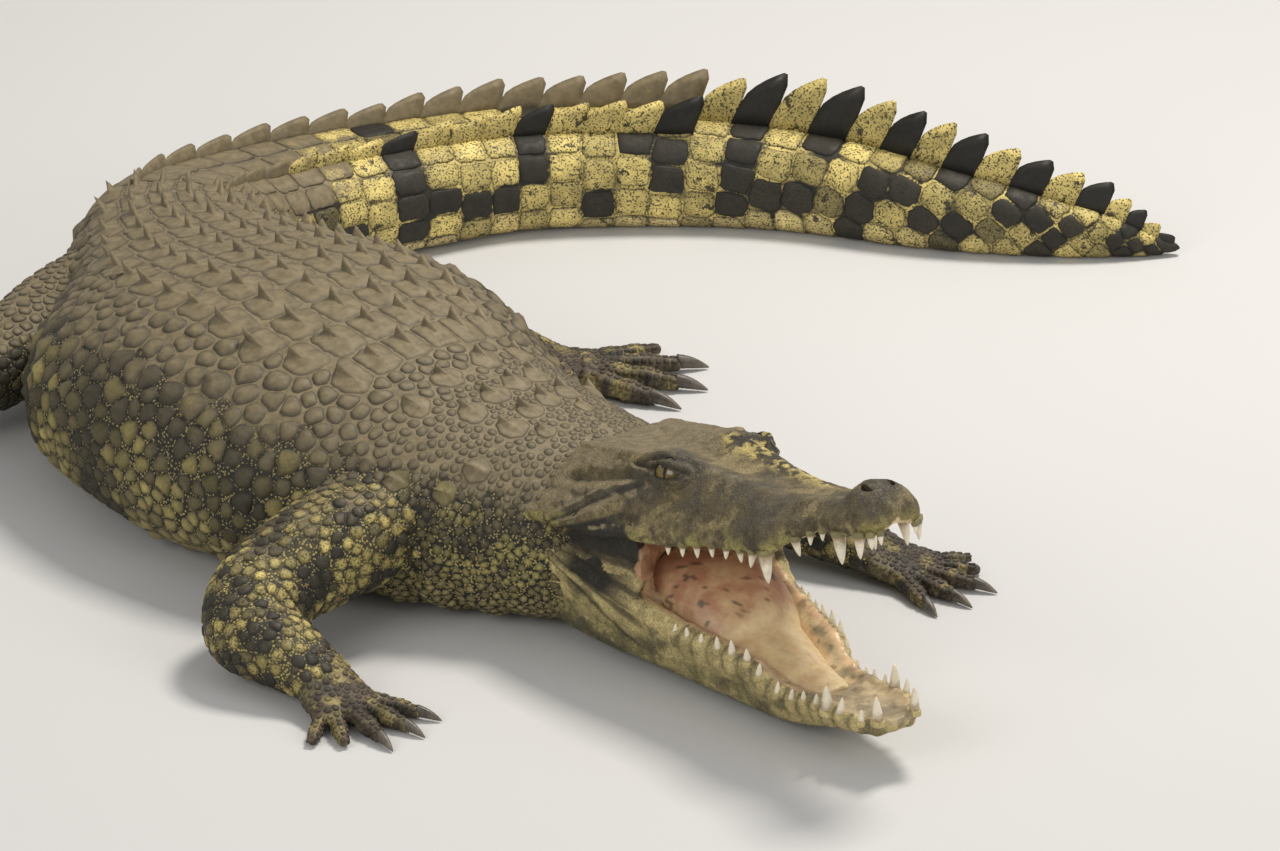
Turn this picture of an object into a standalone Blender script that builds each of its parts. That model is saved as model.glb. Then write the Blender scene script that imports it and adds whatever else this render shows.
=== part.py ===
"""Nile crocodile, life size, lying on its belly in a C with its mouth open.

Metres, +Z up, floor at z = 0, origin on the floor under the middle of the belly.
The body is a loft along a curved spine. The head and the lower jaw are lofts along
straight axes that meet at the jaw joint. The legs are tubes along smooth curves.
Thin cuts part the flesh into named pieces.
"""
import math

import bmesh
import bpy
from mathutils import Matrix, Vector

# ---------------------------------------------------------------- driving dimensions
SKULL = 0.50            # snout tip to the back of the skull table
GAP = 0.0003            # clearance between neighbouring pieces
SWELL = 0.0005          # how far a cutter stands off the piece it clears
BELLY_STATION = 0.55    # place along the spine that stands over the origin
HEAD_HEADING = -55.0    # way the head points, degrees from +X
UPPER_PITCH = 14.5      # upper jaw lifted, degrees
LOWER_PITCH = -5.7      # lower jaw dropped, degrees
JAW_JOINT_HEIGHT = 0.125
RING_POINTS = 16
SPINE_STEP = 0.01

# The spine's heading in degrees against the distance behind the jaw joint.
SPINE_BENDS = (
    (-0.10, -30), (0.00, -30), (0.10, -32), (0.22, -42), (0.35, -52), (0.50, -60),
    (0.65, -65), (0.80, -71), (0.92, -88), (1.05, -118), (1.20, -145), (1.30, -153),
    (1.42, -159), (1.50, -172), (1.60, -180), (1.70, -186), (1.80, -196), (1.90, -204),
    (2.00, -197), (2.10, -190), (2.26, -178))

# distance behind the jaw joint, half width on the right and on the left, top, height of
# the widest place, bottom (below zero it is pressed flat on the floor), squareness of
# the top and of the bottom
BODY = (
    (-0.05, 0.100, 0.100, 0.190, 0.095, 0.020, 2.2, 2.4),
    (0.00, 0.128, 0.128, 0.200, 0.098, 0.000, 2.2, 2.4),
    (0.10, 0.165, 0.158, 0.218, 0.100, -0.004, 2.2, 2.5),
    (0.20, 0.205, 0.185, 0.238, 0.105, -0.006, 2.2, 2.6),
    (0.32, 0.255, 0.225, 0.260, 0.108, -0.008, 2.2, 2.8),
    (0.45, 0.280, 0.245, 0.266, 0.108, -0.012, 2.2, 3.0),
    (0.58, 0.284, 0.240, 0.245, 0.105, -0.012, 2.2, 3.0),
    (0.66, 0.252, 0.220, 0.228, 0.100, -0.010, 2.2, 2.9),
    (0.75, 0.185, 0.185, 0.208, 0.095, -0.008, 2.3, 2.8),
    (0.84, 0.138, 0.150, 0.193, 0.088, -0.007, 2.4, 2.8),
    (0.92, 0.120, 0.130, 0.182, 0.080, -0.006, 2.5, 2.8),
    (1.02, 0.112, 0.118, 0.160, 0.070, -0.006, 2.5, 2.9),
    (1.15, 0.104, 0.104, 0.135, 0.062, -0.006, 2.6, 3.0),
    (1.40, 0.086, 0.086, 0.124, 0.058, -0.005, 2.6, 3.0),
    (1.65, 0.070, 0.070, 0.120, 0.056, -0.005, 2.5, 3.0),
    (1.85, 0.054, 0.054, 0.110, 0.050, -0.005, 2.4, 3.0),
    (1.97, 0.043, 0.043, 0.092, 0.042, -0.004, 2.4, 3.0),
    (2.08, 0.030, 0.030, 0.064, 0.030, -0.003, 2.4, 3.0),
    (2.18, 0.018, 0.018, 0.034, 0.016, -0.002, 2.2, 2.6),
    (2.26, 0.005, 0.005, 0.012, 0.006, -0.001, 2.2, 2.4))

# Tail crest: height against distance, where the two rows become one, and the whorls.
CREST = (
    (0.90, 0.0), (1.00, 0.013), (1.15, 0.021), (1.30, 0.024), (1.42, 0.034),
    (1.62, 0.044), (1.70, 0.056), (1.76, 0.070), (1.93, 0.066), (1.98, 0.060),
    (2.03, 0.046), (2.08, 0.044), (2.17, 0.026), (2.22, 0.012), (2.26, 0.0))
CREST_START = 0.95
DOUBLE_CREST_END = 1.66
WHORL_AT_BASE = 0.051
WHORL_AT_TIP = 0.030
CREST_LEAN = 0.45       # how far a crest scute leans back, in whorl lengths
# how far the whorls slope back for each metre of height
WHORL_SLOPE = (
    (0.95, 0.0), (1.50, 0.0), (1.75, 0.20), (1.85, 0.42), (1.95, 0.55), (2.05, 0.95),
    (2.13, 1.40), (2.26, 1.50))

# The spine stations where the trunk and tail are parted.
PARTS = (("neck", -0.05, 0.27), ("trunk_front", 0.27, 0.56), ("trunk_rear", 0.56, 0.95),
         ("tail_base", 0.95, 1.42), ("tail_middle", 1.42, 1.86), ("tail_tip", 1.86, 2.26))
TRUNK_STEP = 0.062

# Upper head, in skull lengths: distance behind the snout tip, half width, lip height,
# height of the widest place, half width and height of the upper edge, middle of the top
UPPER = (
    (0.000, 0.034, 0.046, 0.078, 0.022, 0.096, 0.100),
    (0.015, 0.058, 0.042, 0.082, 0.040, 0.112, 0.118),
    (0.045, 0.079, 0.042, 0.086, 0.052, 0.128, 0.140),
    (0.085, 0.088, 0.043, 0.084, 0.050, 0.134, 0.150),
    (0.130, 0.084, 0.038, 0.070, 0.042, 0.112, 0.122),
    (0.180, 0.079, 0.038, 0.062, 0.042, 0.094, 0.098),
    (0.240, 0.104, 0.022, 0.052, 0.054, 0.098, 0.102),
    (0.320, 0.142, -0.010, 0.034, 0.070, 0.094, 0.100),
    (0.400, 0.147, -0.012, 0.024, 0.078, 0.098, 0.104),
    (0.500, 0.163, -0.008, 0.022, 0.088, 0.112, 0.116),
    (0.600, 0.188, -0.012, 0.022, 0.098, 0.136, 0.128),
    (0.660, 0.204, -0.008, 0.022, 0.102, 0.158, 0.136),
    (0.710, 0.216, -0.004, 0.024, 0.106, 0.168, 0.142),
    (0.780, 0.232, 0.004, 0.028, 0.112, 0.160, 0.146),
    (0.860, 0.246, 0.012, 0.034, 0.118, 0.158, 0.154),
    (0.940, 0.256, 0.020, 0.042, 0.122, 0.158, 0.158),
    (1.000, 0.262, 0.028, 0.050, 0.124, 0.156, 0.158),
    (1.040, 0.258, 0.034, 0.052, 0.110, 0.140, 0.142),
    (1.100, 0.240, 0.038, 0.052, 0.090, 0.112, 0.114))
UPPER_TIP = 1.07        # snout tip ahead of the jaw joint, in skull lengths

# Lower jaw, in skull lengths: distance behind its tip, half width, gum ridge inside the
# teeth, lip outside them, half width inside the gum, floor of the mouth, half width and
# height of the lower edge, bottom of the throat pouch
LOWER = (
    (0.000, 0.036, -0.008, -0.010, 0.012, -0.018, 0.028, -0.045, -0.050),
    (0.020, 0.058, -0.010, -0.016, 0.030, -0.022, 0.050, -0.052, -0.058),
    (0.050, 0.078, -0.018, -0.026, 0.050, -0.030, 0.066, -0.058, -0.068),
    (0.090, 0.090, -0.018, -0.028, 0.058, -0.032, 0.074, -0.066, -0.078),
    (0.140, 0.092, -0.029, -0.040, 0.054, -0.044, 0.078, -0.078, -0.100),
    (0.200, 0.096, -0.037, -0.050, 0.058, -0.056, 0.082, -0.092, -0.136),
    (0.260, 0.104, -0.050, -0.072, 0.068, -0.070, 0.090, -0.108, -0.160),
    (0.310, 0.114, -0.050, -0.074, 0.078, -0.072, 0.100, -0.116, -0.176),
    (0.380, 0.128, -0.026, -0.036, 0.090, -0.068, 0.112, -0.112, -0.192),
    (0.460, 0.146, -0.026, -0.042, 0.104, -0.066, 0.128, -0.112, -0.202),
    (0.560, 0.170, -0.030, -0.050, 0.126, -0.066, 0.150, -0.116, -0.216),
    (0.680, 0.198, -0.021, -0.040, 0.152, -0.066, 0.176, -0.124, -0.230),
    (0.800, 0.224, -0.009, -0.024, 0.178, -0.066, 0.200, -0.134, -0.242),
    (0.930, 0.246, -0.002, -0.014, 0.200, -0.060, 0.218, -0.140, -0.252),
    (1.035, 0.254, -0.008, -0.020, 0.200, -0.060, 0.224, -0.140, -0.254),
    (1.130, 0.238, -0.018, -0.030, 0.180, -0.060, 0.210, -0.130, -0.250))
LOWER_TIP = 1.035

# Flesh of the cheeks and the back wall of the mouth, in skull lengths ahead of the jaw
# joint: distance, half width at the jaws, half width halfway between, half height
CHEEKS = (
    (-0.080, 0.225, 0.220, 0.060), (0.060, 0.238, 0.232, 0.065),
    (0.180, 0.232, 0.222, 0.080), (0.270, 0.222, 0.206, 0.092),
    (0.345, 0.200, 0.178, 0.100), (0.325, 0.168, 0.145, 0.085),
    (0.270, 0.090, 0.075, 0.050))

# Teeth: distance behind the jaw tip in skull lengths, height in metres; each side
UPPER_TEETH = (
    (0.008, 0.010), (0.022, 0.014), (0.044, 0.022), (0.108, 0.030), (0.180, 0.009),
    (0.212, 0.011), (0.246, 0.017), (0.318, 0.030), (0.362, 0.015), (0.405, 0.011),
    (0.448, 0.010), (0.492, 0.011), (0.535, 0.012), (0.575, 0.010), (0.615, 0.008))
LOWER_TEETH = (
    (0.012, 0.026), (0.040, 0.012), (0.092, 0.017), (0.135, 0.030), (0.172, 0.012),
    (0.212, 0.011), (0.248, 0.013), (0.290, 0.013), (0.345, 0.014), (0.380, 0.017),
    (0.422, 0.018), (0.462, 0.015), (0.508, 0.011), (0.546, 0.011), (0.580, 0.009))
TOOTH_SLIMNESS = 0.20   # base radius over length
TOOTH_ROOT = 0.006      # length set in the gum
TOOTH_INSET = 0.95      # place across the jaw, as a share of its half width

TONGUE = (
    (0.26, 0.030, 0.022), (0.34, 0.050, 0.022), (0.48, 0.082, 0.028), (0.53, 0.112, 0.074),
    (0.60, 0.122, 0.104), (0.66, 0.116, 0.108))
EYE_RADIUS = 0.0175
EYE_PLACE = (0.668, 0.107, 0.126)   # behind the snout tip, sideways, up, skull lengths

# Legs, from the girdle's station: forward, outward, height, half width, half thickness
RIGHT_ARM = (
    (0.050, 0.080, 0.125, 0.060, 0.060), (0.040, 0.190, 0.110, 0.066, 0.060),
    (0.018, 0.295, 0.080, 0.060, 0.054), (0.042, 0.362, 0.056, 0.053, 0.048),
    (0.098, 0.366, 0.044, 0.046, 0.038), (0.143, 0.363, 0.030, 0.040, 0.026))
LEFT_ARM = (
    (0.060, 0.070, 0.105, 0.058, 0.052), (0.115, 0.160, 0.082, 0.054, 0.046),
    (0.165, 0.222, 0.062, 0.048, 0.040), (0.225, 0.255, 0.052, 0.045, 0.037),
    (0.298, 0.264, 0.042, 0.042, 0.033), (0.360, 0.278, 0.029, 0.040, 0.024))
RIGHT_LEG = (
    (0.000, 0.060, 0.100, 0.064, 0.062), (0.040, 0.140, 0.088, 0.060, 0.056),
    (0.105, 0.205, 0.082, 0.054, 0.052), (0.150, 0.262, 0.070, 0.048, 0.045),
    (0.152, 0.318, 0.050, 0.042, 0.036), (0.176, 0.362, 0.033, 0.040, 0.027))
LEFT_LEG = (
    (0.000, 0.070, 0.090, 0.064, 0.062), (0.005, 0.153, 0.085, 0.062, 0.056),
    (0.035, 0.215, 0.076, 0.054, 0.050), (0.095, 0.270, 0.063, 0.048, 0.044),
    (0.135, 0.315, 0.050, 0.043, 0.037), (0.150, 0.360, 0.034, 0.040, 0.027))
LIMB_SQUARENESS = 2.3
ARM_GIRDLE = 0.22
LEG_GIRDLE = 0.85
# the way each hand and foot points: forward, outward
HAND_AIMS = {"right": (0.97, 0.25), "left": (0.95, 0.30)}
FOOT_AIMS = {"right": (0.90, 0.45), "left": (0.24, 0.97)}

# Hands and feet: palm length, half width at its end, half thickness; digits as angle
# from the palm's way (degrees, plus is inward), length and radius
HAND = (0.060, 0.046, 0.015)
FOOT = (0.085, 0.050, 0.015)
HAND_DIGITS = ((38, 0.048, 0.0105), (17, 0.062, 0.0110), (-2, 0.068, 0.0110),
               (-22, 0.060, 0.0095), (-44, 0.046, 0.0085))
FOOT_DIGITS = ((24, 0.070, 0.0135), (7, 0.092, 0.0135), (-10, 0.094, 0.0125),
               (-28, 0.078, 0.0100))
CLAWED_DIGITS = 3
HAND_CLAW = (0.023, 0.0068)         # length and radius at the quick
FOOT_CLAW = (0.032, 0.0086)


# ---------------------------------------------------------------- curves and frames
def smooth_table(rows):
    """A function through table rows, monotone between them, keyed on the first value."""
    xs = [row[0] for row in rows]
    columns = list(zip(*[row[1:] for row in rows]))
    spans = [b - a for a, b in zip(xs, xs[1:])]

    def tangents(ys):
        steps = [(b - a) / h for a, b, h in zip(ys, ys[1:], spans)]
        inner = []
        for i in range(1, len(ys) - 1):
            before, after = steps[i - 1], steps[i]
            if before * after <= 0:
                inner.append(0.0)
                continue
            w1 = 2 * spans[i] + spans[i - 1]
            w2 = spans[i] + 2 * spans[i - 1]
            inner.append((w1 + w2) / (w1 / before + w2 / after))
        return [steps[0]] + inner + [steps[-1]]

    slopes = [tangents(ys) for ys in columns]

    def read(x):
        x = min(max(x, xs[0]), xs[-1])
        i = max(k for k in range(len(xs) - 1) if xs[k] <= x)
        h = spans[i]
        t = (x - xs[i]) / h
        a = 2 * t ** 3 - 3 * t ** 2 + 1
        b = t ** 3 - 2 * t ** 2 + t
        c = t ** 3 - t ** 2
        return [a * ys[i] + b * h * m[i] + (1 - a) * ys[i + 1] + c * h * m[i + 1]
                for ys, m in zip(columns, slopes)]

    return read


spine_bend = smooth_table(SPINE_BENDS)
body_size = smooth_table(BODY)
crest_size = smooth_table(CREST)
whorl_slope = smooth_table(WHORL_SLOPE)
upper_size = smooth_table(UPPER)
lower_size = smooth_table(LOWER)


def heading(station):
    angle = math.radians(spine_bend(station)[0])
    return Vector((math.cos(angle), math.sin(angle), 0.0))


def walk_spine():
    """Points on the floor under the spine, every SPINE_STEP, origin at BELLY_STATION."""
    start, end = SPINE_BENDS[0][0], SPINE_BENDS[-1][0]
    count = round((end - start) / SPINE_STEP)
    points = [Vector((0.0, 0.0, 0.0))]
    for i in range(count):
        points.append(points[-1] - SPINE_STEP * heading(start + (i + 0.5) * SPINE_STEP))
    origin = points[round((BELLY_STATION - start) / SPINE_STEP)]
    return [p - origin for p in points]


SPINE_POINTS = walk_spine()


def spine(station):
    """Floor point, way forward and way left at a station along the spine."""
    place = (station - SPINE_BENDS[0][0]) / SPINE_STEP
    i = min(max(int(place), 0), len(SPINE_POINTS) - 2)
    point = SPINE_POINTS[i].lerp(SPINE_POINTS[i + 1], place - i)
    forward = heading(station)
    return point, forward, Vector((-forward.y, forward.x, 0.0))


def round_off(value, squareness):
    """A sine or cosine bent towards a squarer or rounder section."""
    return math.copysign(abs(value) ** (2 / squareness), value)


def through(points, steps):
    """Points of a Catmull-Rom curve through the given ones, `steps` to each span."""
    padded = [2 * points[0] - points[1]] + list(points) + [2 * points[-1] - points[-2]]
    out = []
    for a, b, c, d in zip(padded, padded[1:], padded[2:], padded[3:]):
        for k in range(steps):
            t = k / steps
            out.append(0.5 * (2 * b + (c - a) * t + (2 * a - 5 * b + 4 * c - d) * t ** 2
                              + (3 * b - a - 3 * c + d) * t ** 3))
    return out + [points[-1]]


# ---------------------------------------------------------------- mesh helpers
def new_object(name, mesh, collection):
    obj = bpy.data.objects.new(name, mesh)
    collection.objects.link(obj)
    return obj


def loft(name, rings, collection):
    """A closed body through rings of equal count, capped at both ends."""
    bm = bmesh.new()
    layers = [[bm.verts.new(p) for p in ring] for ring in rings]
    for low, high in zip(layers, layers[1:]):
        for i in range(len(low)):
            j = (i + 1) % len(low)
            bm.faces.new((low[i], low[j], high[j], high[i]))
    bm.faces.new(layers[0])
    bm.faces.new(layers[-1])
    bmesh.ops.triangulate(bm, faces=bm.faces[:])
    bmesh.ops.recalc_face_normals(bm, faces=bm.faces[:])
    mesh = bpy.data.meshes.new(name)
    bm.to_mesh(mesh)
    bm.free()
    return new_object(name, mesh, collection)


def swollen(obj, name, collection, amount=SWELL):
    """A copy that stands off the original by `amount`, for cutting its neighbours."""
    bm = bmesh.new()
    bm.from_mesh(obj.data)
    bm.normal_update()
    moved = [(v, v.co + v.normal * amount) for v in bm.verts]
    for vert, place in moved:
        vert.co = place
    mesh = bpy.data.meshes.new(name)
    bm.to_mesh(mesh)
    bm.free()
    return new_object(name, mesh, collection)


def boolean(obj, other, operation):
    """Cut or join now, so that `other` can be used again or removed."""
    modifier = obj.modifiers.new(operation.lower(), "BOOLEAN")
    modifier.object = other
    modifier.operation = operation
    modifier.solver = "EXACT"
    view = bpy.context.evaluated_depsgraph_get()
    result = bpy.data.meshes.new_from_object(obj.evaluated_get(view))
    obj.modifiers.remove(modifier)
    old = obj.data
    obj.data = result
    bpy.data.meshes.remove(old)


def join(obj, others):
    for other in others:
        boolean(obj, other, "UNION")
        bpy.data.objects.remove(other)


def keep_largest(obj):
    """Drop the loose slivers that a cut can leave beside the main body."""
    bm = bmesh.new()
    bm.from_mesh(obj.data)
    shells = []
    left_over = set(bm.verts)
    while left_over:
        shell, frontier = set(), [left_over.pop()]
        while frontier:
            vert = frontier.pop()
            shell.add(vert)
            beside = {edge.other_vert(vert) for edge in vert.link_edges} & left_over
            left_over -= beside
            frontier.extend(beside)
        shells.append(shell)
    biggest = max(shells, key=len)
    loose = [vert for vert in bm.verts if vert not in biggest]
    bmesh.ops.delete(bm, geom=loose, context="VERTS")
    bm.to_mesh(obj.data)
    bm.free()


def cut_clear(obj, cutters):
    """Take the cutters' shapes off an object, and keep its main piece."""
    for cutter in cutters:
        boolean(obj, cutter, "DIFFERENCE")
    keep_largest(obj)


def tidy_mesh(obj):
    """Merge points that a cut left almost on each other, and flatten the tiny faces."""
    bm = bmesh.new()
    bm.from_mesh(obj.data)
    bmesh.ops.remove_doubles(bm, verts=bm.verts[:], dist=0.00002)
    bmesh.ops.dissolve_degenerate(bm, edges=bm.edges[:], dist=0.00002)
    bmesh.ops.triangulate(bm, faces=bm.faces[:])
    bm.to_mesh(obj.data)
    bm.free()


def material(name, colour, roughness):
    made = bpy.data.materials.new(name)
    made.use_nodes = True
    shader = made.node_tree.nodes["Principled BSDF"]
    shader.inputs["Base Color"].default_value = (*colour, 1.0)
    shader.inputs["Roughness"].default_value = roughness
    shader.inputs["Metallic"].default_value = 0.0
    return made


# ---------------------------------------------------------------- body and tail
def body_ring(station, crest=0.0, lean=0.0):
    """Section of the body: clamped to the floor, with the crest raised at the top."""
    right_half, left_half, top, widest, bottom, top_square, bottom_square = body_size(station)
    point, forward, left = spine(station)
    slope = whorl_slope(station)[0]
    quarter = RING_POINTS // 4
    ring = []
    for k in range(RING_POINTS):
        angle = 2 * math.pi * k / RING_POINTS
        across, up = math.cos(angle), math.sin(angle)
        square = top_square if up >= 0 else bottom_square
        y = (left_half if across > 0 else right_half) * round_off(across, square)
        reach = top - widest if up >= 0 else widest - bottom
        place = point + left * y
        place.z = max(widest + reach * round_off(up, square), 0.0)
        single = station > DOUBLE_CREST_END
        on_crest = k == quarter if single else abs(k - quarter) == 1
        if crest and on_crest:
            place += Vector((0, 0, crest)) - forward * lean
            if single:
                place.z = max(place.z, top + crest)
        ring.append(place - forward * slope * place.z)
    return ring


def whorls():
    """Start and end stations of each ring of tail scutes."""
    edges = [CREST_START]
    span = SPINE_BENDS[-1][0] - CREST_START
    while edges[-1] < SPINE_BENDS[-1][0] - WHORL_AT_TIP:
        share = (edges[-1] - CREST_START) / span
        edges.append(edges[-1] + WHORL_AT_BASE + (WHORL_AT_TIP - WHORL_AT_BASE) * share)
    return list(zip(edges, edges[1:]))


def tail_rings(start, end):
    """Two rings to a whorl: low at its front, and the scutes' raised tips at its back."""
    rings = []
    for front, back in whorls():
        for station, share in ((front, 0.2), (back - 0.004, 1.0)):
            if start <= station <= end:
                height = crest_size(station)[0] * share
                lean = CREST_LEAN * (back - front) * (share == 1.0)
                rings.append((station, body_ring(station, height, lean)))
    return rings


def body_part(name, start, end, collection):
    """One length of the body between two stations, less half a gap at each cut."""
    first = start + GAP / 2
    last = end - GAP / 2
    if start >= CREST_START:
        middle = tail_rings(first + 0.008, last - 0.008)
    else:
        count = max(2, round((end - start) / TRUNK_STEP))
        stations = [start + (end - start) * i / count for i in range(1, count)]
        middle = [(s, body_ring(s)) for s in stations]
    rings = [body_ring(first)] + [ring for _, ring in middle] + [body_ring(last)]
    return loft(name, rings, collection)


# ---------------------------------------------------------------- head
def jaw_frame(pitch):
    """From skull lengths ahead of, left of and above the jaw joint to the world."""
    joint = spine(0.0)[0] + Vector((0, 0, JAW_JOINT_HEIGHT))
    turn = Matrix.Rotation(math.radians(HEAD_HEADING), 4, "Z")
    lift = Matrix.Rotation(math.radians(-pitch), 4, "Y")
    return Matrix.Translation(joint) @ turn @ lift @ Matrix.Scale(SKULL, 4)


def mirrored(half):
    """A closed ring from half a section, given from the middle to the middle."""
    return half + [Vector((p.x, -p.y, p.z)) for p in reversed(half[1:-1])]


def section(points, x):
    """Half a section: a smooth curve through (sideways, up) points at a distance x."""
    bends = [Vector((x, y, z)) for y, z in points]
    curve = through(bends, 2)
    second_last = len(curve) - 3
    return mirrored(curve[:second_last] + curve[second_last + 1:])


def on_floor(points):
    return [Vector((p.x, p.y, max(p.z, 0.0))) for p in points]


def upper_ring(behind):
    half, lip, wide, edge, edge_up, top = upper_size(behind)
    outline = ((0, lip + 0.016), (half * 0.80, lip + 0.008), (half * 0.96, lip),
               (half, wide), (edge, edge_up), (0, top))
    return section(outline, UPPER_TIP - behind)


def lower_ring(behind):
    half, ridge, lip, inside, floor, under, under_up, pouch = lower_size(behind)
    outline = ((0, floor), (inside * 0.72, floor + 0.002), (inside, ridge - 0.010),
               (half * 0.86, ridge), (half * 0.99, lip), (half, lip - 0.018),
               (under, under_up), (under * 0.82, under_up + (pouch - under_up) * 0.62),
               (0, pouch))
    return section(outline, LOWER_TIP - behind)


def cheek_ring(ahead, at_jaws, halfway, height):
    outline = ((0, height), (at_jaws, height), (halfway, 0), (at_jaws, -height),
               (0, -height))
    return mirrored([Vector((ahead, y, z)) for y, z in outline])


def rings_of(table, ring):
    """A ring at each row of a head table."""
    return [ring(row[0]) for row in table]


def upper_edge(behind):
    """Half width and height of the upper jaw's lip."""
    half, lip = upper_size(behind)[:2]
    return half, lip


def lower_edge(behind):
    """Half width and height of the lower jaw's lip."""
    half, _, lip = lower_size(behind)[:3]
    return half, lip


def tooth_row(table, tip, along, up):
    """Roots of one jaw's teeth in its frame, with the lean and the height of each."""
    roots = []
    for behind, height in table:
        half, edge = along(behind)
        for side in (1, -1):
            roots.append((Vector((tip - behind, side * half * TOOTH_INSET, edge)),
                          Vector((0.02, side * 0.10, up)), height))
    return roots


def teeth(name, roots, frame, collection):
    """Pointed cones rooted in the gum, as one set."""
    bm = bmesh.new()
    for root, lean, height in roots:
        way = (frame.to_3x3() @ lean).normalized()
        turn = way.to_track_quat("Z", "Y").to_matrix().to_4x4()
        length = height + TOOTH_ROOT
        centre = frame @ root + way * (length / 2 - TOOTH_ROOT)
        bmesh.ops.create_cone(bm, cap_ends=True, segments=4, radius2=0, depth=length,
                              radius1=length * TOOTH_SLIMNESS,
                              matrix=Matrix.Translation(centre) @ turn)
    mesh = bpy.data.meshes.new(name)
    bm.to_mesh(mesh)
    bm.free()
    return new_object(name, mesh, collection)


def half_space(name, pitch, above, collection):
    """A big box on one side of the plane that parts the two jaws."""
    frame = jaw_frame(pitch)
    bm = bmesh.new()
    bmesh.ops.create_cube(bm, size=3.0)
    shift = (1.5 if above else -1.5) + (-1 if above else 1) * GAP / 2 / SKULL
    for vert in bm.verts:
        vert.co = frame @ (vert.co + Vector((0, 0, shift)))
    mesh = bpy.data.meshes.new(name)
    bm.to_mesh(mesh)
    bm.free()
    return new_object(name, mesh, collection)


def make_head(body, scratch, cutters):
    """Head, lower jaw, tongue and eyes, parted from each other and from the neck."""
    middle = (UPPER_PITCH + LOWER_PITCH) / 2
    up, low, mid = jaw_frame(UPPER_PITCH), jaw_frame(LOWER_PITCH), jaw_frame(middle)
    upper_rings = [[up @ p for p in ring] for ring in rings_of(UPPER, upper_ring)]
    lower_rings = [on_floor([low @ p for p in ring]) for ring in rings_of(LOWER, lower_ring)]
    cheek_rings = [[mid @ p for p in cheek_ring(*row)] for row in CHEEKS]

    head = loft("head", upper_rings, body)
    jaw = loft("lower_jaw", lower_rings, body)
    for obj, above in ((head, False), (jaw, True)):
        join(obj, [loft("cheeks", cheek_rings, scratch)])
        other_half = half_space("other_half", middle, above, scratch)
        boolean(obj, other_half, "DIFFERENCE")
        bpy.data.objects.remove(other_half)
    upper_roots = tooth_row(UPPER_TEETH, UPPER_TIP, upper_edge, -1)
    lower_roots = tooth_row(LOWER_TEETH, LOWER_TIP, lower_edge, 1)
    head_teeth = teeth("upper_teeth", upper_roots, up, scratch)
    jaw_teeth = teeth("lower_teeth", lower_roots, low, scratch)
    join(head, [head_teeth])
    join(jaw, [jaw_teeth])
    cut_clear(head, cutters)
    cut_clear(jaw, cutters)

    behind, aside, height = EYE_PLACE
    for side, name in ((1, "eye_left"), (-1, "eye_right")):
        bm = bmesh.new()
        bmesh.ops.create_uvsphere(bm, u_segments=8, v_segments=6, radius=EYE_RADIUS)
        mesh = bpy.data.meshes.new(name)
        bm.to_mesh(mesh)
        bm.free()
        mesh.transform(Matrix.Translation(up @ Vector((UPPER_TIP - behind, side * aside, height))))
        eye = new_object(name, mesh, body)
        socket = swollen(eye, "socket", scratch)
        boolean(head, socket, "DIFFERENCE")
        bpy.data.objects.remove(socket)

    rings = []
    for behind, half, rise in TONGUE:
        floor = lower_size(behind)[4]
        outline = ((0, floor - 0.004), (half * 0.8, floor - 0.004),
                   (half, floor + rise * 0.36), (half * 0.6, floor + rise * 0.9),
                   (0, floor + rise))
        rings.append([low @ p for p in section(outline, LOWER_TIP - behind)])
    tongue = loft("tongue", rings, body)
    jaw_cutter = swollen(jaw, "jaw_cutter", scratch)
    boolean(tongue, jaw_cutter, "DIFFERENCE")
    keep_largest(tongue)
    bpy.data.objects.remove(jaw_cutter)


# ---------------------------------------------------------------- legs
def tube_ring(point, way, half, thick, points=10):
    """An oval section square to `way`, wide across it and kept above the floor."""
    across = Vector((0, 0, 1)).cross(way).normalized()
    upward = way.cross(across).normalized()
    ring = []
    for k in range(points):
        angle = 2 * math.pi * k / points
        y = half * round_off(math.cos(angle), LIMB_SQUARENESS)
        z = thick * round_off(math.sin(angle), LIMB_SQUARENESS)
        ring.append(point + across * y + upward * z)
    return on_floor(ring)


def limb_stations(rows, girdle, side):
    """Smooth stations down a limb: point, way, half width and half thickness."""
    base, forward, left = spine(girdle)
    points = [base + forward * f + left * (out * side) + Vector((0, 0, up))
              for f, out, up, _, _ in rows]
    sizes = [Vector((half, thick, 0)) for _, _, _, half, thick in rows]
    path = through(points, 2)
    widths = through(sizes, 2)
    stations = []
    for i, (point, size) in enumerate(zip(path, widths)):
        before = path[max(i - 1, 0)]
        after = path[min(i + 1, len(path) - 1)]
        stations.append((point, (after - before).normalized(), size.x, size.y))
    return stations


def limb_piece(name, stations, start_gap, end_gap, collection):
    """One length of a limb, with half a gap taken off where it meets the next."""
    rings = []
    for i, (point, way, half, thick) in enumerate(stations):
        shift = 0.0
        if i == 0:
            shift = start_gap
        if i == len(stations) - 1:
            shift = -end_gap
        rings.append(tube_ring(point + way * shift, way, half, thick))
    return loft(name, rings, collection)


def digit(name, root, way, length, radius, collection):
    """A toe from inside the palm to the quick of its claw, resting on the floor."""
    steps = ((0.0, 1.0, 1.15), (0.70, 1.02, 1.0), (1.0, 0.72, 0.70))
    rings = []
    for share, wide, high in steps:
        point = root + way * (length * share)
        point.z = radius * (1.5 - 0.75 * share)
        rings.append(tube_ring(point, way, radius * wide, radius * high, 6))
    return loft(name, rings, collection)


def claw(name, root, way, start, size, collection):
    """A bent cone that ends with its point near the floor."""
    length, radius = size
    rings = []
    for share, thick in ((0.0, 1.0), (0.5, 0.78), (1.0, 0.12)):
        point = root + way * (start + length * share)
        point.z = radius * (1.45 - 0.25 * share - 0.85 * share ** 2)
        rings.append(tube_ring(point, way, radius * thick * 0.85, radius * thick, 6))
    return loft(name, rings, collection)


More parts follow.
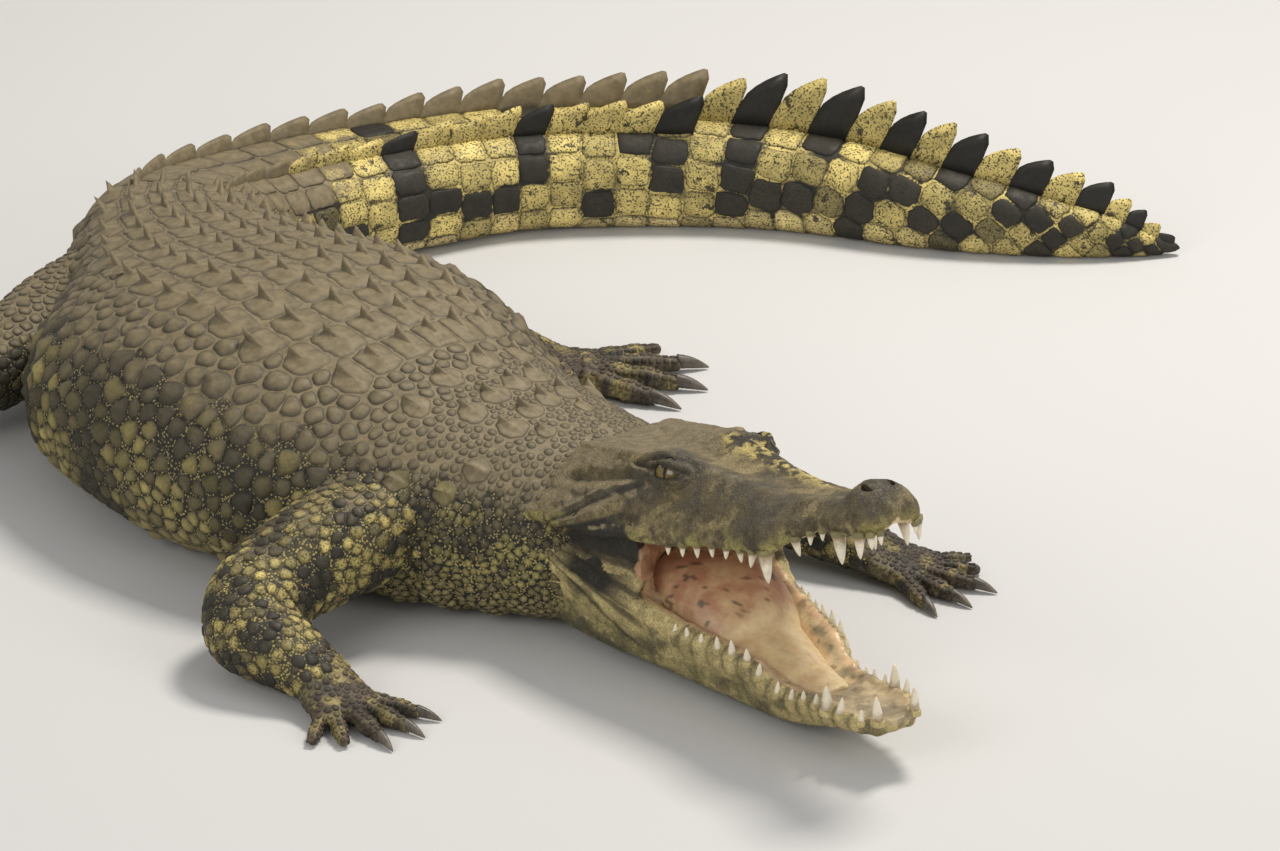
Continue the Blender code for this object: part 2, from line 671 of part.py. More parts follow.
def extremity(prefix, kind, stations, side, flat, shape, body, scratch, cutter):
    """Hand or foot: palm and digits in one piece, claws as pieces of their own."""
    point, way, half, thick = stations[-1]
    (length, spread, flatness), digits, claw_size = shape
    start = point + way * (GAP / 2)
    middle = point + flat * (length * 0.55)
    middle.z = flatness + 0.003
    end = point + flat * length
    end.z = flatness
    rings = [tube_ring(start, way, half, thick),
             tube_ring(middle, flat, spread * 0.94, flatness * 1.1),
             tube_ring(end, flat, spread, flatness * 0.85),
             tube_ring(end + flat * 0.012, flat, spread * 0.86, flatness * 0.5)]
    hand = loft(prefix + kind, rings, body)
    cut_clear(hand, [cutter])
    inward = Vector((-flat.y, flat.x, 0)) * -side
    toes = []
    for i, (angle, reach, radius) in enumerate(digits):
        turn = math.radians(angle)
        toe_way = flat * math.cos(turn) + inward * math.sin(turn)
        place = spread * 0.80 * (1 - 2 * i / (len(digits) - 1))
        root = end + inward * place - toe_way * 0.018
        toes.append(digit("toe", root, toe_way, reach + 0.018, radius, scratch))
        if i < CLAWED_DIGITS:
            start_at = reach + 0.018 + GAP
            claw(f"{prefix}{kind}_claw_{i + 1}", root, toe_way, start_at, claw_size, body)
    join(hand, toes)


def make_leg(side_name, side, rows, girdle, aim, names, shape, body, scratch, cutters):
    """A leg in three lengths: down to the elbow or knee, to the wrist, and the foot."""
    _, forward, left = spine(girdle)
    flat = (forward * aim[0] + left * (side * aim[1])).normalized()
    stations = limb_stations(rows, girdle, side)
    bend = 6
    upper_name, lower_name, end_name = names
    prefix = side_name + "_"
    upper = limb_piece(prefix + upper_name, stations[:bend + 1], 0, GAP / 2, body)
    cut_clear(upper, cutters)
    lower = limb_piece(prefix + lower_name, stations[bend:], GAP / 2, GAP / 2, body)
    cut_clear(lower, cutters)
    lower_cutter = swollen(lower, "lower_cutter", scratch)
    extremity(prefix, end_name, stations, side, flat, shape, body, scratch, lower_cutter)
    bpy.data.objects.remove(lower_cutter)


# ---------------------------------------------------------------- assembly
def paint(body):
    """Give each piece its own material, in the animal's plain colours."""
    hide = (0.23, 0.20, 0.11)
    special = {"eye": (0.55, 0.47, 0.12), "tongue": (0.80, 0.50, 0.28),
               "claw": (0.17, 0.14, 0.12), "tail": (0.42, 0.36, 0.14),
               "hand": (0.20, 0.18, 0.12), "lower_jaw": (0.42, 0.42, 0.24)}
    for obj in body.objects:
        colour = hide
        for word, shade in special.items():
            if word in obj.name:
                colour = shade
        roughness = 0.15 if "eye" in obj.name else 0.7
        obj.data.materials.clear()
        obj.data.materials.append(material(obj.name + "_skin", colour, roughness))
        obj.data.shade_smooth()
        obj.data.set_sharp_from_angle(angle=math.radians(50))


def build():
    for obj in list(bpy.data.objects):
        bpy.data.objects.remove(obj)
    body = bpy.data.collections.new("nile_crocodile")
    scratch = bpy.data.collections.new("cutters")
    bpy.context.scene.collection.children.link(body)
    bpy.context.scene.collection.children.link(scratch)

    lengths = [body_part(name, start, end, body) for name, start, end in PARTS]
    cutters = [swollen(part, part.name + "_cutter", scratch) for part in lengths[:4]]
    make_head(body, scratch, cutters[:1])
    arm = ("upper_arm", "forearm", "hand")
    leg = ("thigh", "shin", "foot")
    for side_name, side, arm_rows, leg_rows in (("right", -1, RIGHT_ARM, RIGHT_LEG),
                                                ("left", 1, LEFT_ARM, LEFT_LEG)):
        make_leg(side_name, side, arm_rows, ARM_GIRDLE, HAND_AIMS[side_name], arm,
                 (HAND, HAND_DIGITS, HAND_CLAW), body, scratch, cutters[:2])
        make_leg(side_name, side, leg_rows, LEG_GIRDLE, FOOT_AIMS[side_name], leg,
                 (FOOT, FOOT_DIGITS, FOOT_CLAW), body, scratch, cutters[1:])
    for cutter in cutters:
        bpy.data.objects.remove(cutter)
    for obj in body.objects:
        tidy_mesh(obj)
    paint(body)


build()
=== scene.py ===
# A Nile crocodile, life size, basking on its belly with its jaws wide open.
# One skin is made from lofts and remeshed, then scales are laid over it cell by cell.
import math

import bmesh
import bpy
import numpy as np
from mathutils import Matrix, Vector, noise
from mathutils.bvhtree import BVHTree
from mathutils.kdtree import KDTree


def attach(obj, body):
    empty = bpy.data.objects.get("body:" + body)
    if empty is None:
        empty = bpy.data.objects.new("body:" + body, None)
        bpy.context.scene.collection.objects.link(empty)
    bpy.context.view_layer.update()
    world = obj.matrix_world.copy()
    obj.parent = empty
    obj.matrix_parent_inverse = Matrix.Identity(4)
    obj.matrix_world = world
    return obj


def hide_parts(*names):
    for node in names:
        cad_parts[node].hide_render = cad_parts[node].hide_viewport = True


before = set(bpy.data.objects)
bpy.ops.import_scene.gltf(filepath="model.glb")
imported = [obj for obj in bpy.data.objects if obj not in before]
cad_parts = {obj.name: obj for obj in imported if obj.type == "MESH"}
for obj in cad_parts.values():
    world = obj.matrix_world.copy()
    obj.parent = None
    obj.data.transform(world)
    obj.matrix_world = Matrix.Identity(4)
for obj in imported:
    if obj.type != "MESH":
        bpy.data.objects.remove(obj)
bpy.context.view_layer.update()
rng = np.random.default_rng(11)


def smoothTable(rows):
    # a smooth curve through the rows that never overshoots, read at one or many places
    table = np.array(rows, float)
    xs, ys = table[:, 0], table[:, 1:]
    spans = np.diff(xs)
    steps = np.diff(ys, axis=0) / spans[:, None]
    slopes = np.zeros_like(ys)
    slopes[0], slopes[-1] = steps[0], steps[-1]
    for i in range(1, len(xs) - 1):
        before, after = steps[i - 1], steps[i]
        flat = before * after <= 0
        w1, w2 = 2 * spans[i] + spans[i - 1], spans[i] + 2 * spans[i - 1]
        under = w1 / np.where(flat, 1, before) + w2 / np.where(flat, 1, after)
        slopes[i] = np.where(flat, 0, (w1 + w2) / np.where(flat, 1, under))

    def read(x):
        x = np.clip(np.asarray(x, float), xs[0], xs[-1])
        i = np.clip(np.searchsorted(xs, x, side="right") - 1, 0, len(xs) - 2)
        h = spans[i]
        t = (x - xs[i]) / h
        a = (2 * t ** 3 - 3 * t ** 2 + 1)[..., None]
        b = ((t ** 3 - 2 * t ** 2 + t) * h)[..., None]
        c = ((t ** 3 - t ** 2) * h)[..., None]
        return a * ys[i] + b * slopes[i] + (1 - a) * ys[i + 1] + c * slopes[i + 1]

    return read


def readTable(rows, x):
    # straight lines between the rows' pairs
    return np.interp(x, *np.array(rows).T)


def ramp(low, high, x):
    # rises smoothly from 0 at low to 1 at high; falls if low is the greater
    t = np.clip((x - low) / (high - low), 0, 1)
    return t * t * (3 - 2 * t)


def through(points, steps):
    # points of a smooth curve through the given ones, with `steps` to each span
    points = np.asarray(points, float)
    padded = np.vstack([2 * points[0] - points[1], points, 2 * points[-1] - points[-2]])
    a, b, c, d = padded[:-3, None], padded[1:-2, None], padded[2:-1, None], padded[3:, None]
    t = (np.arange(steps) / steps)[None, :, None]
    curve = 0.5 * (2 * b + (c - a) * t + (2 * a - 5 * b + 4 * c - d) * t ** 2
                   + (3 * b - a - 3 * c + d) * t ** 3)
    return np.vstack([curve.reshape(-1, points.shape[1]), points[-1]])


def window(x, start, full, fading, end):
    # rises from 0 to 1 between the first two and falls again between the last two
    return ramp(start, full, x) * (1 - ramp(fading, end, x))


def circleAngles(count):
    return 2 * math.pi * np.arange(count) / count


def ovalRing(middle, across, upward, wide, high, count, squareness=2):
    angles = circleAngles(count)
    ring = middle + across * (roundOff(np.cos(angles), squareness) * wide)[:, None]
    return ring + upward * (roundOff(np.sin(angles), squareness) * high)[:, None]


def treeOf(places):
    tree = KDTree(len(places))
    for i, place in enumerate(places):
        tree.insert(place, i)
    tree.balance()
    return tree


def roundOff(value, squareness):
    return np.sign(value) * np.abs(value) ** (2 / squareness)


def unit(vectors):
    length = np.linalg.norm(vectors, axis=-1, keepdims=True)
    return vectors / np.maximum(length, 1e-9)


# Distances along the spine are in metres behind the jaw joint.
spine = {
    "origin": 0.55,          # the station that stands over the origin
    "step": 0.01,
    "bends": (               # station, heading in degrees
        (-0.10, -30), (0.00, -30), (0.10, -32), (0.22, -42), (0.35, -52), (0.50, -60),
        (0.65, -65), (0.80, -71), (0.92, -88), (1.05, -118), (1.20, -145), (1.30, -153),
        (1.42, -159), (1.50, -172), (1.60, -180), (1.70, -186), (1.80, -196), (1.90, -204),
        (2.00, -197), (2.10, -190), (2.26, -178)),
}

spineBend = smoothTable(spine["bends"])


def walkSpine():
    start, end = spine["bends"][0][0], spine["bends"][-1][0]
    count = round((end - start) / spine["step"])
    middles = start + (np.arange(count) + 0.5) * spine["step"]
    angles = np.radians(spineBend(middles)[:, 0])
    strides = np.stack([np.cos(angles), np.sin(angles)], 1) * spine["step"]
    points = np.vstack([[[0.0, 0.0]], -np.cumsum(strides, 0)])
    return points - points[round((spine["origin"] - start) / spine["step"])]


spinePoints = walkSpine()


def spineAt(stations):
    # floor point, way forward and way left
    stations = np.asarray(stations, float)
    place = (stations - spine["bends"][0][0]) / spine["step"]
    i = np.clip(place.astype(int), 0, len(spinePoints) - 2)
    share = (place - i)[..., None]
    point = spinePoints[i] * (1 - share) + spinePoints[i + 1] * share
    angle = np.radians(spineBend(stations)[..., 0])
    forward = np.stack([np.cos(angle), np.sin(angle)], -1)
    left = np.stack([-forward[..., 1], forward[..., 0]], -1)
    return point, forward, left


def findStations(points):
    # station, distance to the left and height of places on the trunk and tail
    flat = points[:, :2]
    nearest = np.empty(len(points), int)
    for start in range(0, len(points), 20000):
        part = flat[start:start + 20000]
        gaps = ((part[:, None] - spinePoints[None]) ** 2).sum(-1)
        nearest[start:start + 20000] = gaps.argmin(1)
    stations = spine["bends"][0][0] + nearest * spine["step"]
    point, forward, left = spineAt(stations)
    stations = stations - ((flat - point) * forward).sum(-1)
    aside = ((flat - point) * left).sum(-1)
    return stations, aside, points[:, 2]


body = {
    "coatDepth": 0.0022,     # how far the skin lies under the tips of the scales
    "floorHeight": 0.0012,   # the pressed-flat belly skin, above the floor
    # station, right half width, left half width, top, height of the widest place, bottom,
    # squareness of the top and of the bottom
    "rings": (
        (-0.05, 0.100, 0.100, 0.190, 0.095, 0.020, 2.2, 2.4),
        (0.00, 0.128, 0.128, 0.200, 0.098, 0.000, 2.2, 2.4),
        (0.10, 0.165, 0.158, 0.218, 0.100, -0.004, 2.2, 2.5),
        (0.20, 0.205, 0.185, 0.238, 0.105, -0.006, 2.2, 2.6),
        (0.32, 0.255, 0.225, 0.260, 0.108, -0.008, 2.2, 2.8),
        (0.45, 0.280, 0.245, 0.266, 0.108, -0.012, 2.2, 3.0),
        (0.58, 0.284, 0.240, 0.245, 0.105, -0.012, 2.2, 3.0),
        (0.66, 0.252, 0.220, 0.228, 0.100, -0.010, 2.2, 2.9),
        (0.75, 0.185, 0.185, 0.208, 0.095, -0.008, 2.3, 2.8),
        (0.84, 0.138, 0.150, 0.193, 0.088, -0.007, 2.4, 2.8),
        (0.92, 0.120, 0.130, 0.182, 0.080, -0.006, 2.5, 2.8),
        (1.02, 0.112, 0.118, 0.160, 0.070, -0.006, 2.5, 2.9),
        (1.15, 0.104, 0.104, 0.135, 0.062, -0.006, 2.6, 3.0),
        (1.40, 0.086, 0.086, 0.124, 0.058, -0.005, 2.6, 3.0),
        (1.65, 0.070, 0.070, 0.120, 0.056, -0.005, 2.5, 3.0),
        (1.85, 0.054, 0.054, 0.110, 0.050, -0.005, 2.4, 3.0),
        (1.97, 0.043, 0.043, 0.092, 0.042, -0.004, 2.4, 3.0),
        (2.08, 0.030, 0.030, 0.064, 0.030, -0.003, 2.4, 3.0),
        (2.18, 0.018, 0.018, 0.034, 0.016, -0.002, 2.2, 2.6),
        (2.26, 0.005, 0.005, 0.012, 0.006, -0.001, 2.2, 2.4)),
}

tail = {
    "start": 0.95,
    "length": 1.31,
    "checkered": 16,         # rings with blocks of black; narrower bands follow them
    "crestsMeet": 1.66,
    "whorlAtBase": 0.051,
    "whorlAtTip": 0.030,
    "crest": (               # station, height of the crest over the tail's top
        (0.90, 0.0), (1.00, 0.013), (1.15, 0.021), (1.30, 0.024), (1.42, 0.034),
        (1.62, 0.044), (1.70, 0.056), (1.76, 0.070), (1.93, 0.066), (1.98, 0.060),
        (2.03, 0.046), (2.08, 0.044), (2.17, 0.026), (2.22, 0.012), (2.26, 0.0)),
    "slope": (               # station, how far whorls lean back for each metre of height
        (0.95, 0.0), (1.50, 0.0), (1.75, 0.20), (1.85, 0.42), (1.95, 0.55), (2.05, 0.95),
        (2.13, 1.40), (2.26, 1.50)),
}

bodySize = smoothTable(body["rings"])
crestSize = smoothTable(tail["crest"])
whorlSlope = smoothTable(tail["slope"])


def bodyPlaces(stations, angles, inset):
    # a grid of places on the trunk and tail; 90 degrees is the middle of the back
    stations = np.asarray(stations, float)
    size = bodySize(stations)[..., None]
    right, left, top, widest, bottom, topSquare, bottomSquare = np.moveaxis(size, -2, 0)
    across, up = np.cos(angles), np.sin(angles)
    square = np.where(up >= 0, topSquare, bottomSquare)
    half = np.maximum(np.where(across > 0, left, right) - inset, 0.002)
    reach = np.where(up >= 0, np.maximum(top - inset - widest, 0.002), widest - bottom)
    y = half * roundOff(across, square)
    z = np.maximum(widest + reach * roundOff(up, square), body["floorHeight"])
    point, forward, leftWay = spineAt(stations)
    slope = whorlSlope(stations)
    flat = point[:, None] + leftWay[:, None] * y[..., None]
    flat = flat - forward[:, None] * (slope * z)[..., None]
    return np.dstack([flat, z])


# Head sizes are in skull lengths, measured in each jaw's own frame.
skull = {
    "length": 0.50,
    "heading": -55.0,
    "upperPitch": 14.5,
    "lowerPitch": -5.7,
    "jointHeight": 0.125,
    "upperTip": 1.07,
    "lowerTip": 1.035,
    # behind the tip, half width, lip height, height of the widest place, half width and
    # height of the upper edge, middle of the top
    "upper": (
        (0.000, 0.034, 0.046, 0.078, 0.022, 0.096, 0.100),
        (0.015, 0.058, 0.042, 0.082, 0.040, 0.112, 0.118),
        (0.045, 0.079, 0.042, 0.086, 0.052, 0.128, 0.140),
        (0.085, 0.088, 0.043, 0.084, 0.050, 0.134, 0.150),
        (0.130, 0.084, 0.038, 0.070, 0.042, 0.112, 0.122),
        (0.180, 0.079, 0.038, 0.062, 0.042, 0.094, 0.098),
        (0.240, 0.104, 0.022, 0.052, 0.054, 0.098, 0.102),
        (0.320, 0.142, -0.010, 0.034, 0.070, 0.094, 0.100),
        (0.400, 0.147, -0.012, 0.024, 0.078, 0.098, 0.104),
        (0.500, 0.163, -0.008, 0.022, 0.088, 0.112, 0.116),
        (0.600, 0.188, -0.012, 0.022, 0.098, 0.136, 0.128),
        (0.660, 0.204, -0.008, 0.022, 0.102, 0.158, 0.136),
        (0.710, 0.216, -0.004, 0.024, 0.106, 0.168, 0.142),
        (0.780, 0.232, 0.004, 0.028, 0.112, 0.160, 0.146),
        (0.860, 0.246, 0.012, 0.034, 0.118, 0.158, 0.154),
        (0.940, 0.256, 0.020, 0.042, 0.122, 0.158, 0.158),
        (1.000, 0.262, 0.028, 0.050, 0.124, 0.156, 0.158),
        (1.040, 0.258, 0.034, 0.052, 0.110, 0.140, 0.142),
        (1.100, 0.240, 0.038, 0.052, 0.090, 0.112, 0.114)),
    # behind the tip, half width, gum ridge, lip, half width inside the gum, mouth floor,
    # half width and height of the lower edge, bottom of the throat pouch
    "lower": (
        (0.000, 0.036, -0.008, -0.010, 0.012, -0.018, 0.028, -0.045, -0.050),
        (0.020, 0.058, -0.010, -0.016, 0.030, -0.022, 0.050, -0.052, -0.058),
        (0.050, 0.078, -0.018, -0.026, 0.050, -0.030, 0.066, -0.058, -0.068),
        (0.090, 0.090, -0.018, -0.028, 0.058, -0.032, 0.074, -0.066, -0.078),
        (0.140, 0.092, -0.029, -0.040, 0.054, -0.044, 0.078, -0.078, -0.100),
        (0.200, 0.096, -0.037, -0.050, 0.058, -0.056, 0.082, -0.092, -0.136),
        (0.260, 0.104, -0.050, -0.072, 0.068, -0.070, 0.090, -0.108, -0.160),
        (0.310, 0.114, -0.050, -0.074, 0.078, -0.072, 0.100, -0.116, -0.176),
        (0.380, 0.128, -0.026, -0.036, 0.090, -0.068, 0.112, -0.112, -0.192),
        (0.460, 0.146, -0.026, -0.042, 0.104, -0.066, 0.128, -0.112, -0.202),
        (0.560, 0.170, -0.030, -0.050, 0.126, -0.066, 0.150, -0.116, -0.216),
        (0.680, 0.198, -0.021, -0.040, 0.152, -0.066, 0.176, -0.124, -0.230),
        (0.800, 0.224, -0.009, -0.024, 0.178, -0.066, 0.200, -0.134, -0.242),
        (0.930, 0.246, -0.002, -0.014, 0.200, -0.060, 0.218, -0.140, -0.252),
        (1.035, 0.254, -0.008, -0.020, 0.200, -0.060, 0.224, -0.140, -0.254),
        (1.130, 0.238, -0.018, -0.030, 0.180, -0.060, 0.210, -0.130, -0.250)),
    # cheeks and back wall of the mouth: ahead of the joint, half width at the jaws and
    # halfway between them, half height
    "cheeks": (
        (-0.080, 0.225, 0.220, 0.060), (0.060, 0.238, 0.232, 0.065),
        (0.180, 0.232, 0.222, 0.080), (0.270, 0.222, 0.206, 0.092),
        (0.345, 0.200, 0.178, 0.100), (0.325, 0.168, 0.145, 0.085),
        (0.270, 0.090, 0.075, 0.050)),
}

upperSize = smoothTable(skull["upper"])
lowerSize = smoothTable(skull["lower"])


def jawFrame(pitch):
    point = spineAt(0.0)[0]
    joint = Matrix.Translation((point[0], point[1], skull["jointHeight"]))
    turn = Matrix.Rotation(math.radians(skull["heading"]), 4, "Z")
    lift = Matrix.Rotation(math.radians(-pitch), 4, "Y")
    return np.array(joint @ turn @ lift @ Matrix.Scale(skull["length"], 4))


upFrame = jawFrame(skull["upperPitch"])
lowFrame = jawFrame(skull["lowerPitch"])
midPitch = (skull["upperPitch"] + skull["lowerPitch"]) / 2
midFrame = jawFrame(midPitch)


def moved(matrix, points):
    return np.asarray(points) @ matrix[:3, :3].T + matrix[:3, 3]


def inFrame(matrix, points):
    # world places as skull lengths ahead of, left of and above the jaw joint
    return moved(np.linalg.inv(matrix), points)


def mirroredRing(half):
    other = half[1:-1][::-1] * (1, -1, 1)
    return np.vstack([half, other])


def headSection(points, ahead, steps=6):
    curve = through(points, steps)
    return mirroredRing(np.column_stack([np.full(len(curve), ahead), curve]))


def upperRing(behind):
    half, lip, wide, edge, edgeUp, top = upperSize(behind)
    outline = ((0, lip + 0.016), (half * 0.8, lip + 0.008), (half * 0.96, lip),
               (half, wide), (edge, edgeUp), (0, top))
    return headSection(outline, skull["upperTip"] - behind)


def lowerRing(behind):
    half, ridge, lip, inside, floor, under, underUp, pouch = lowerSize(behind)
    outline = ((0, floor), (inside * 0.72, floor + 0.002), (inside, ridge - 0.01),
               (half * 0.86, ridge), (half * 0.99, lip), (half, lip - 0.018),
               (under, underUp), (under * 0.82, underUp + (pouch - underUp) * 0.62),
               (0, pouch))
    return headSection(outline, skull["lowerTip"] - behind)


def cheekRing(ahead, atJaws, halfway, height):
    half = np.array([(ahead, 0, height), (ahead, atJaws, height), (ahead, halfway, 0),
                     (ahead, atJaws, -height), (ahead, 0, -height)])
    return mirroredRing(half)


legs = {
    # from the girdle: forward, outward, height, half width, half thickness
    "rightArm": (
        (0.050, 0.080, 0.125, 0.060, 0.060), (0.040, 0.190, 0.110, 0.066, 0.060),
        (0.018, 0.295, 0.080, 0.060, 0.054), (0.042, 0.362, 0.056, 0.053, 0.048),
        (0.098, 0.366, 0.044, 0.046, 0.038), (0.143, 0.363, 0.030, 0.040, 0.026)),
    "leftArm": (
        (0.060, 0.070, 0.105, 0.058, 0.052), (0.115, 0.160, 0.082, 0.054, 0.046),
        (0.165, 0.222, 0.062, 0.048, 0.040), (0.225, 0.255, 0.052, 0.045, 0.037),
        (0.298, 0.264, 0.042, 0.042, 0.033), (0.360, 0.278, 0.029, 0.040, 0.024)),
    "rightLeg": (
        (0.000, 0.060, 0.100, 0.064, 0.062), (0.040, 0.140, 0.088, 0.060, 0.056),
        (0.105, 0.205, 0.082, 0.054, 0.052), (0.150, 0.262, 0.070, 0.048, 0.045),
        (0.152, 0.318, 0.050, 0.042, 0.036), (0.176, 0.362, 0.033, 0.040, 0.027)),
    "leftLeg": (
        (0.000, 0.070, 0.090, 0.064, 0.062), (0.005, 0.153, 0.085, 0.062, 0.056),
        (0.035, 0.215, 0.076, 0.054, 0.050), (0.095, 0.270, 0.063, 0.048, 0.044),
        (0.135, 0.315, 0.050, 0.043, 0.037), (0.150, 0.360, 0.034, 0.040, 0.027)),
    "squareness": 2.3,
    "girdles": {"Arm": 0.22, "Leg": 0.85},
    "aims": {"rightArm": (0.97, 0.25), "leftArm": (0.95, 0.30),
             "rightLeg": (0.90, 0.45), "leftLeg": (0.24, 0.97)},
}

feet = {
    # palm length, half width, half thickness; digits as angle, length, radius; claw
    "Arm": {"palm": (0.060, 0.046, 0.015), "claw": (0.023, 0.0068),
            "digits": ((38, 0.048, 0.0105), (17, 0.062, 0.0110), (-2, 0.068, 0.0110),
                       (-22, 0.060, 0.0095), (-44, 0.046, 0.0085))},
    "Leg": {"palm": (0.085, 0.050, 0.015), "claw": (0.032, 0.0086),
            "digits": ((24, 0.070, 0.0135), (7, 0.092, 0.0135), (-10, 0.094, 0.0125),
                       (-28, 0.078, 0.0100))},
    "clawed": 3,
    "setBack": 0.018,        # how deep a digit starts inside the palm
    "clawRoot": 0.004,       # how deep a claw starts inside its toe
}


def tubeRing(point, way, half, thick, points=24):
    across = unit(np.cross((0, 0, 1), way))
    upward = unit(np.cross(way, across))
    ring = ovalRing(point, across, upward, half, thick, points, legs["squareness"])
    ring[:, 2] = np.maximum(ring[:, 2], body["floorHeight"])
    return ring


def girdleOf(name):
    # a limb's girdle: place on the floor, way forward and way out to its own side
    base, forward, left = spineAt(legs["girdles"][name[-3:]])
    return base, forward, left if name.startswith("left") else -left


def limbStations(name, steps=8):
    # places down a limb: point, way, half width and half thickness
    base, forward, outward = girdleOf(name)
    rows = np.array(legs[name])
    flat = base + forward * rows[:, :1] + outward * rows[:, 1:2]
    path = through(np.column_stack([flat, rows[:, 2]]), steps)
    widths = through(rows[:, 3:], steps) - body["coatDepth"]
    ways = unit(np.vstack([path[1:2] - path[:1], path[2:] - path[:-2], path[-1:] - path[-2:-1]]))
    return path, ways, widths


def footPlan(name):
    # the palm's end, the way it points, and each digit's root, way, length and radius
    plan = feet[name[-3:]]
    aim = legs["aims"][name]
    _, forward, outward = girdleOf(name)
    flat = np.append(unit(forward * aim[0] + outward * aim[1]), 0)
    length, spread, flatness = plan["palm"]
    end = limbStations(name)[0][-1] + flat * length
    end[2] = flatness
    inward = np.array([-flat[1], flat[0], 0]) * (-1 if name.startswith("left") else 1)
    digits = []
    for i, (angle, reach, radius) in enumerate(plan["digits"]):
        turn = math.radians(angle)
        way = flat * math.cos(turn) + inward * math.sin(turn)
        place = spread * 0.8 * (1 - 2 * i / (len(plan["digits"]) - 1))
        digits.append((end + inward * place - way * feet["setBack"], way, reach, radius))
    return end, flat, digits


def loftFaces(rings, points, start):
    # quads between closed rings, and a fan at each end
    ring = np.arange(points)
    after = (ring + 1) % points
    faces = []
    for i in range(rings - 1):
        low, high = start + i * points, start + (i + 1) * points
        faces += np.column_stack([low + ring, low + after, high + after, high + ring]).tolist()
    first, last = start + rings * points, start + rings * points + 1
    base = start + (rings - 1) * points
    faces += [(first, start + b, start + a) for a, b in zip(ring, after)]
    faces += [(last, base + a, base + b) for a, b in zip(ring, after)]
    return faces


def joinedLofts(grids):
    # one mesh from several grids of places, each ring by point
    verts, faces, start = [], [], 0
    for grid in grids:
        rings, points = grid.shape[:2]
        faces += loftFaces(rings, points, start)
        verts += [grid.reshape(-1, 3), grid[0].mean(0)[None], grid[-1].mean(0)[None]]
        start += rings * points + 2
    mesh = bpy.data.meshes.new("lofts")
    mesh.from_pydata(np.vstack(verts).tolist(), [], faces)
    bm = bmesh.new()
    bm.from_mesh(mesh)
    bmesh.ops.recalc_face_normals(bm, faces=bm.faces[:])
    bm.to_mesh(mesh)
    bm.free()
    mesh.shade_smooth()
    return mesh


def newPiece(name, data):
    piece = bpy.data.objects.new(name, data)
    bpy.context.scene.collection.objects.link(piece)
    return piece


def applied(piece, kind, **settings):
    # the piece's mesh after one modifier
    modifier = piece.modifiers.new(kind.lower(), kind)
    for key, value in settings.items():
        setattr(modifier, key, value)
    view = bpy.context.evaluated_depsgraph_get()
    made = bpy.data.meshes.new_from_object(piece.evaluated_get(view))
    piece.modifiers.clear()
    piece.data = made
    return made


def gathered(items, field, width, kind=np.float32):
    # one row of numbers for each of a mesh's items
    found = np.empty(len(items) * width, kind)
    items.foreach_get(field, found)
    return found.reshape(-1, width)


def placesOf(mesh):
    return gathered(mesh.vertices, "co", 3).astype(float)


def normalsOf(mesh):
    return gathered(mesh.vertex_normals, "vector", 3).astype(float)


def setPlaces(mesh, places):
    mesh.vertices.foreach_set("co", np.asarray(places, np.float32).ravel())
    mesh.update()


def trianglesOf(mesh):
    mesh.calc_loop_triangles()
    return gathered(mesh.loop_triangles, "vertices", 3, np.int32)


def smoothed(places, edges, share, rounds):
    # move each place towards the middle of its neighbours, by its own share
    count = len(places)
    a, b = edges[:, 0], edges[:, 1]
    degree = np.bincount(a, minlength=count) + np.bincount(b, minlength=count)
    for _ in range(rounds):
        total = np.empty_like(places)
        for k in range(3):
            total[:, k] = (np.bincount(a, places[b, k], count)
                           + np.bincount(b, places[a, k], count))
        places = places + share[:, None] * (total / degree[:, None] - places)
    return places


skinPlan = {
    "ringStep": 0.0075,      # between two rings of the trunk
    "ringPoints": 112,
    "headRings": 100,
    "voxel": 0.0027,
    "kept": 0.30,            # share of the triangles left after thinning
    "headShrink": 0.0006,    # the head has almost no coat
    "limbSmoothing": 22,     # rounds, for soft joins where the legs leave the trunk
    "headSmoothing": 7,
}

limbNames = ("rightArm", "leftArm", "rightLeg", "leftLeg")


def bodyGrid():
    step = skinPlan["ringStep"]
    first, last = body["rings"][0][0], body["rings"][-1][0]
    stations = np.arange(first, last + step / 2, step)
    return bodyPlaces(stations, circleAngles(skinPlan["ringPoints"]), body["coatDepth"])


def headGrids():
    shrink = skinPlan["headShrink"] / skull["length"]
    behinds = np.concatenate([[0, 0.004, 0.009], np.linspace(0.015, 1.1, skinPlan["headRings"])])
    upper = np.array([upperRing(t) for t in behinds])
    lower = np.array([lowerRing(t) for t in np.append(behinds, 1.13)])
    cheeks = through(np.array([cheekRing(*row).ravel() for row in skull["cheeks"]]), 1)
    cheeks = cheeks.reshape(len(skull["cheeks"]), -1, 3)
    for grid in (upper, lower):
        grid -= unit(grid - grid.mean(1, keepdims=True)) * shrink
    upper = moved(upFrame, upper)
    lower = moved(lowFrame, lower)
    lower[..., 2] = np.maximum(lower[..., 2], body["floorHeight"])
    return [upper, lower, moved(midFrame, cheeks)]


def limbGrid(name):
    path, ways, widths = limbStations(name)
    return np.array([tubeRing(p, w, *size) for p, w, size in zip(path, ways, widths)])


def palmGrid(name):
    length, spread, flatness = feet[name[-3:]]["palm"]
    path, ways, widths = limbStations(name)
    end, flat, _ = footPlan(name)
    middle = path[-1] + flat * length * 0.55
    middle[2] = flatness + 0.003
    depth = body["coatDepth"]
    rows = ((path[-3], ways[-3], *widths[-3]), (path[-1], ways[-1], *widths[-1]),
            (middle, flat, spread * 0.94 - depth, flatness * 1.1 - depth),
            (end, flat, spread - depth, flatness * 0.85 - depth / 2),
            (end + flat * 0.012, flat, spread * 0.86 - depth, flatness * 0.5))
    return np.array([tubeRing(*row) for row in rows])


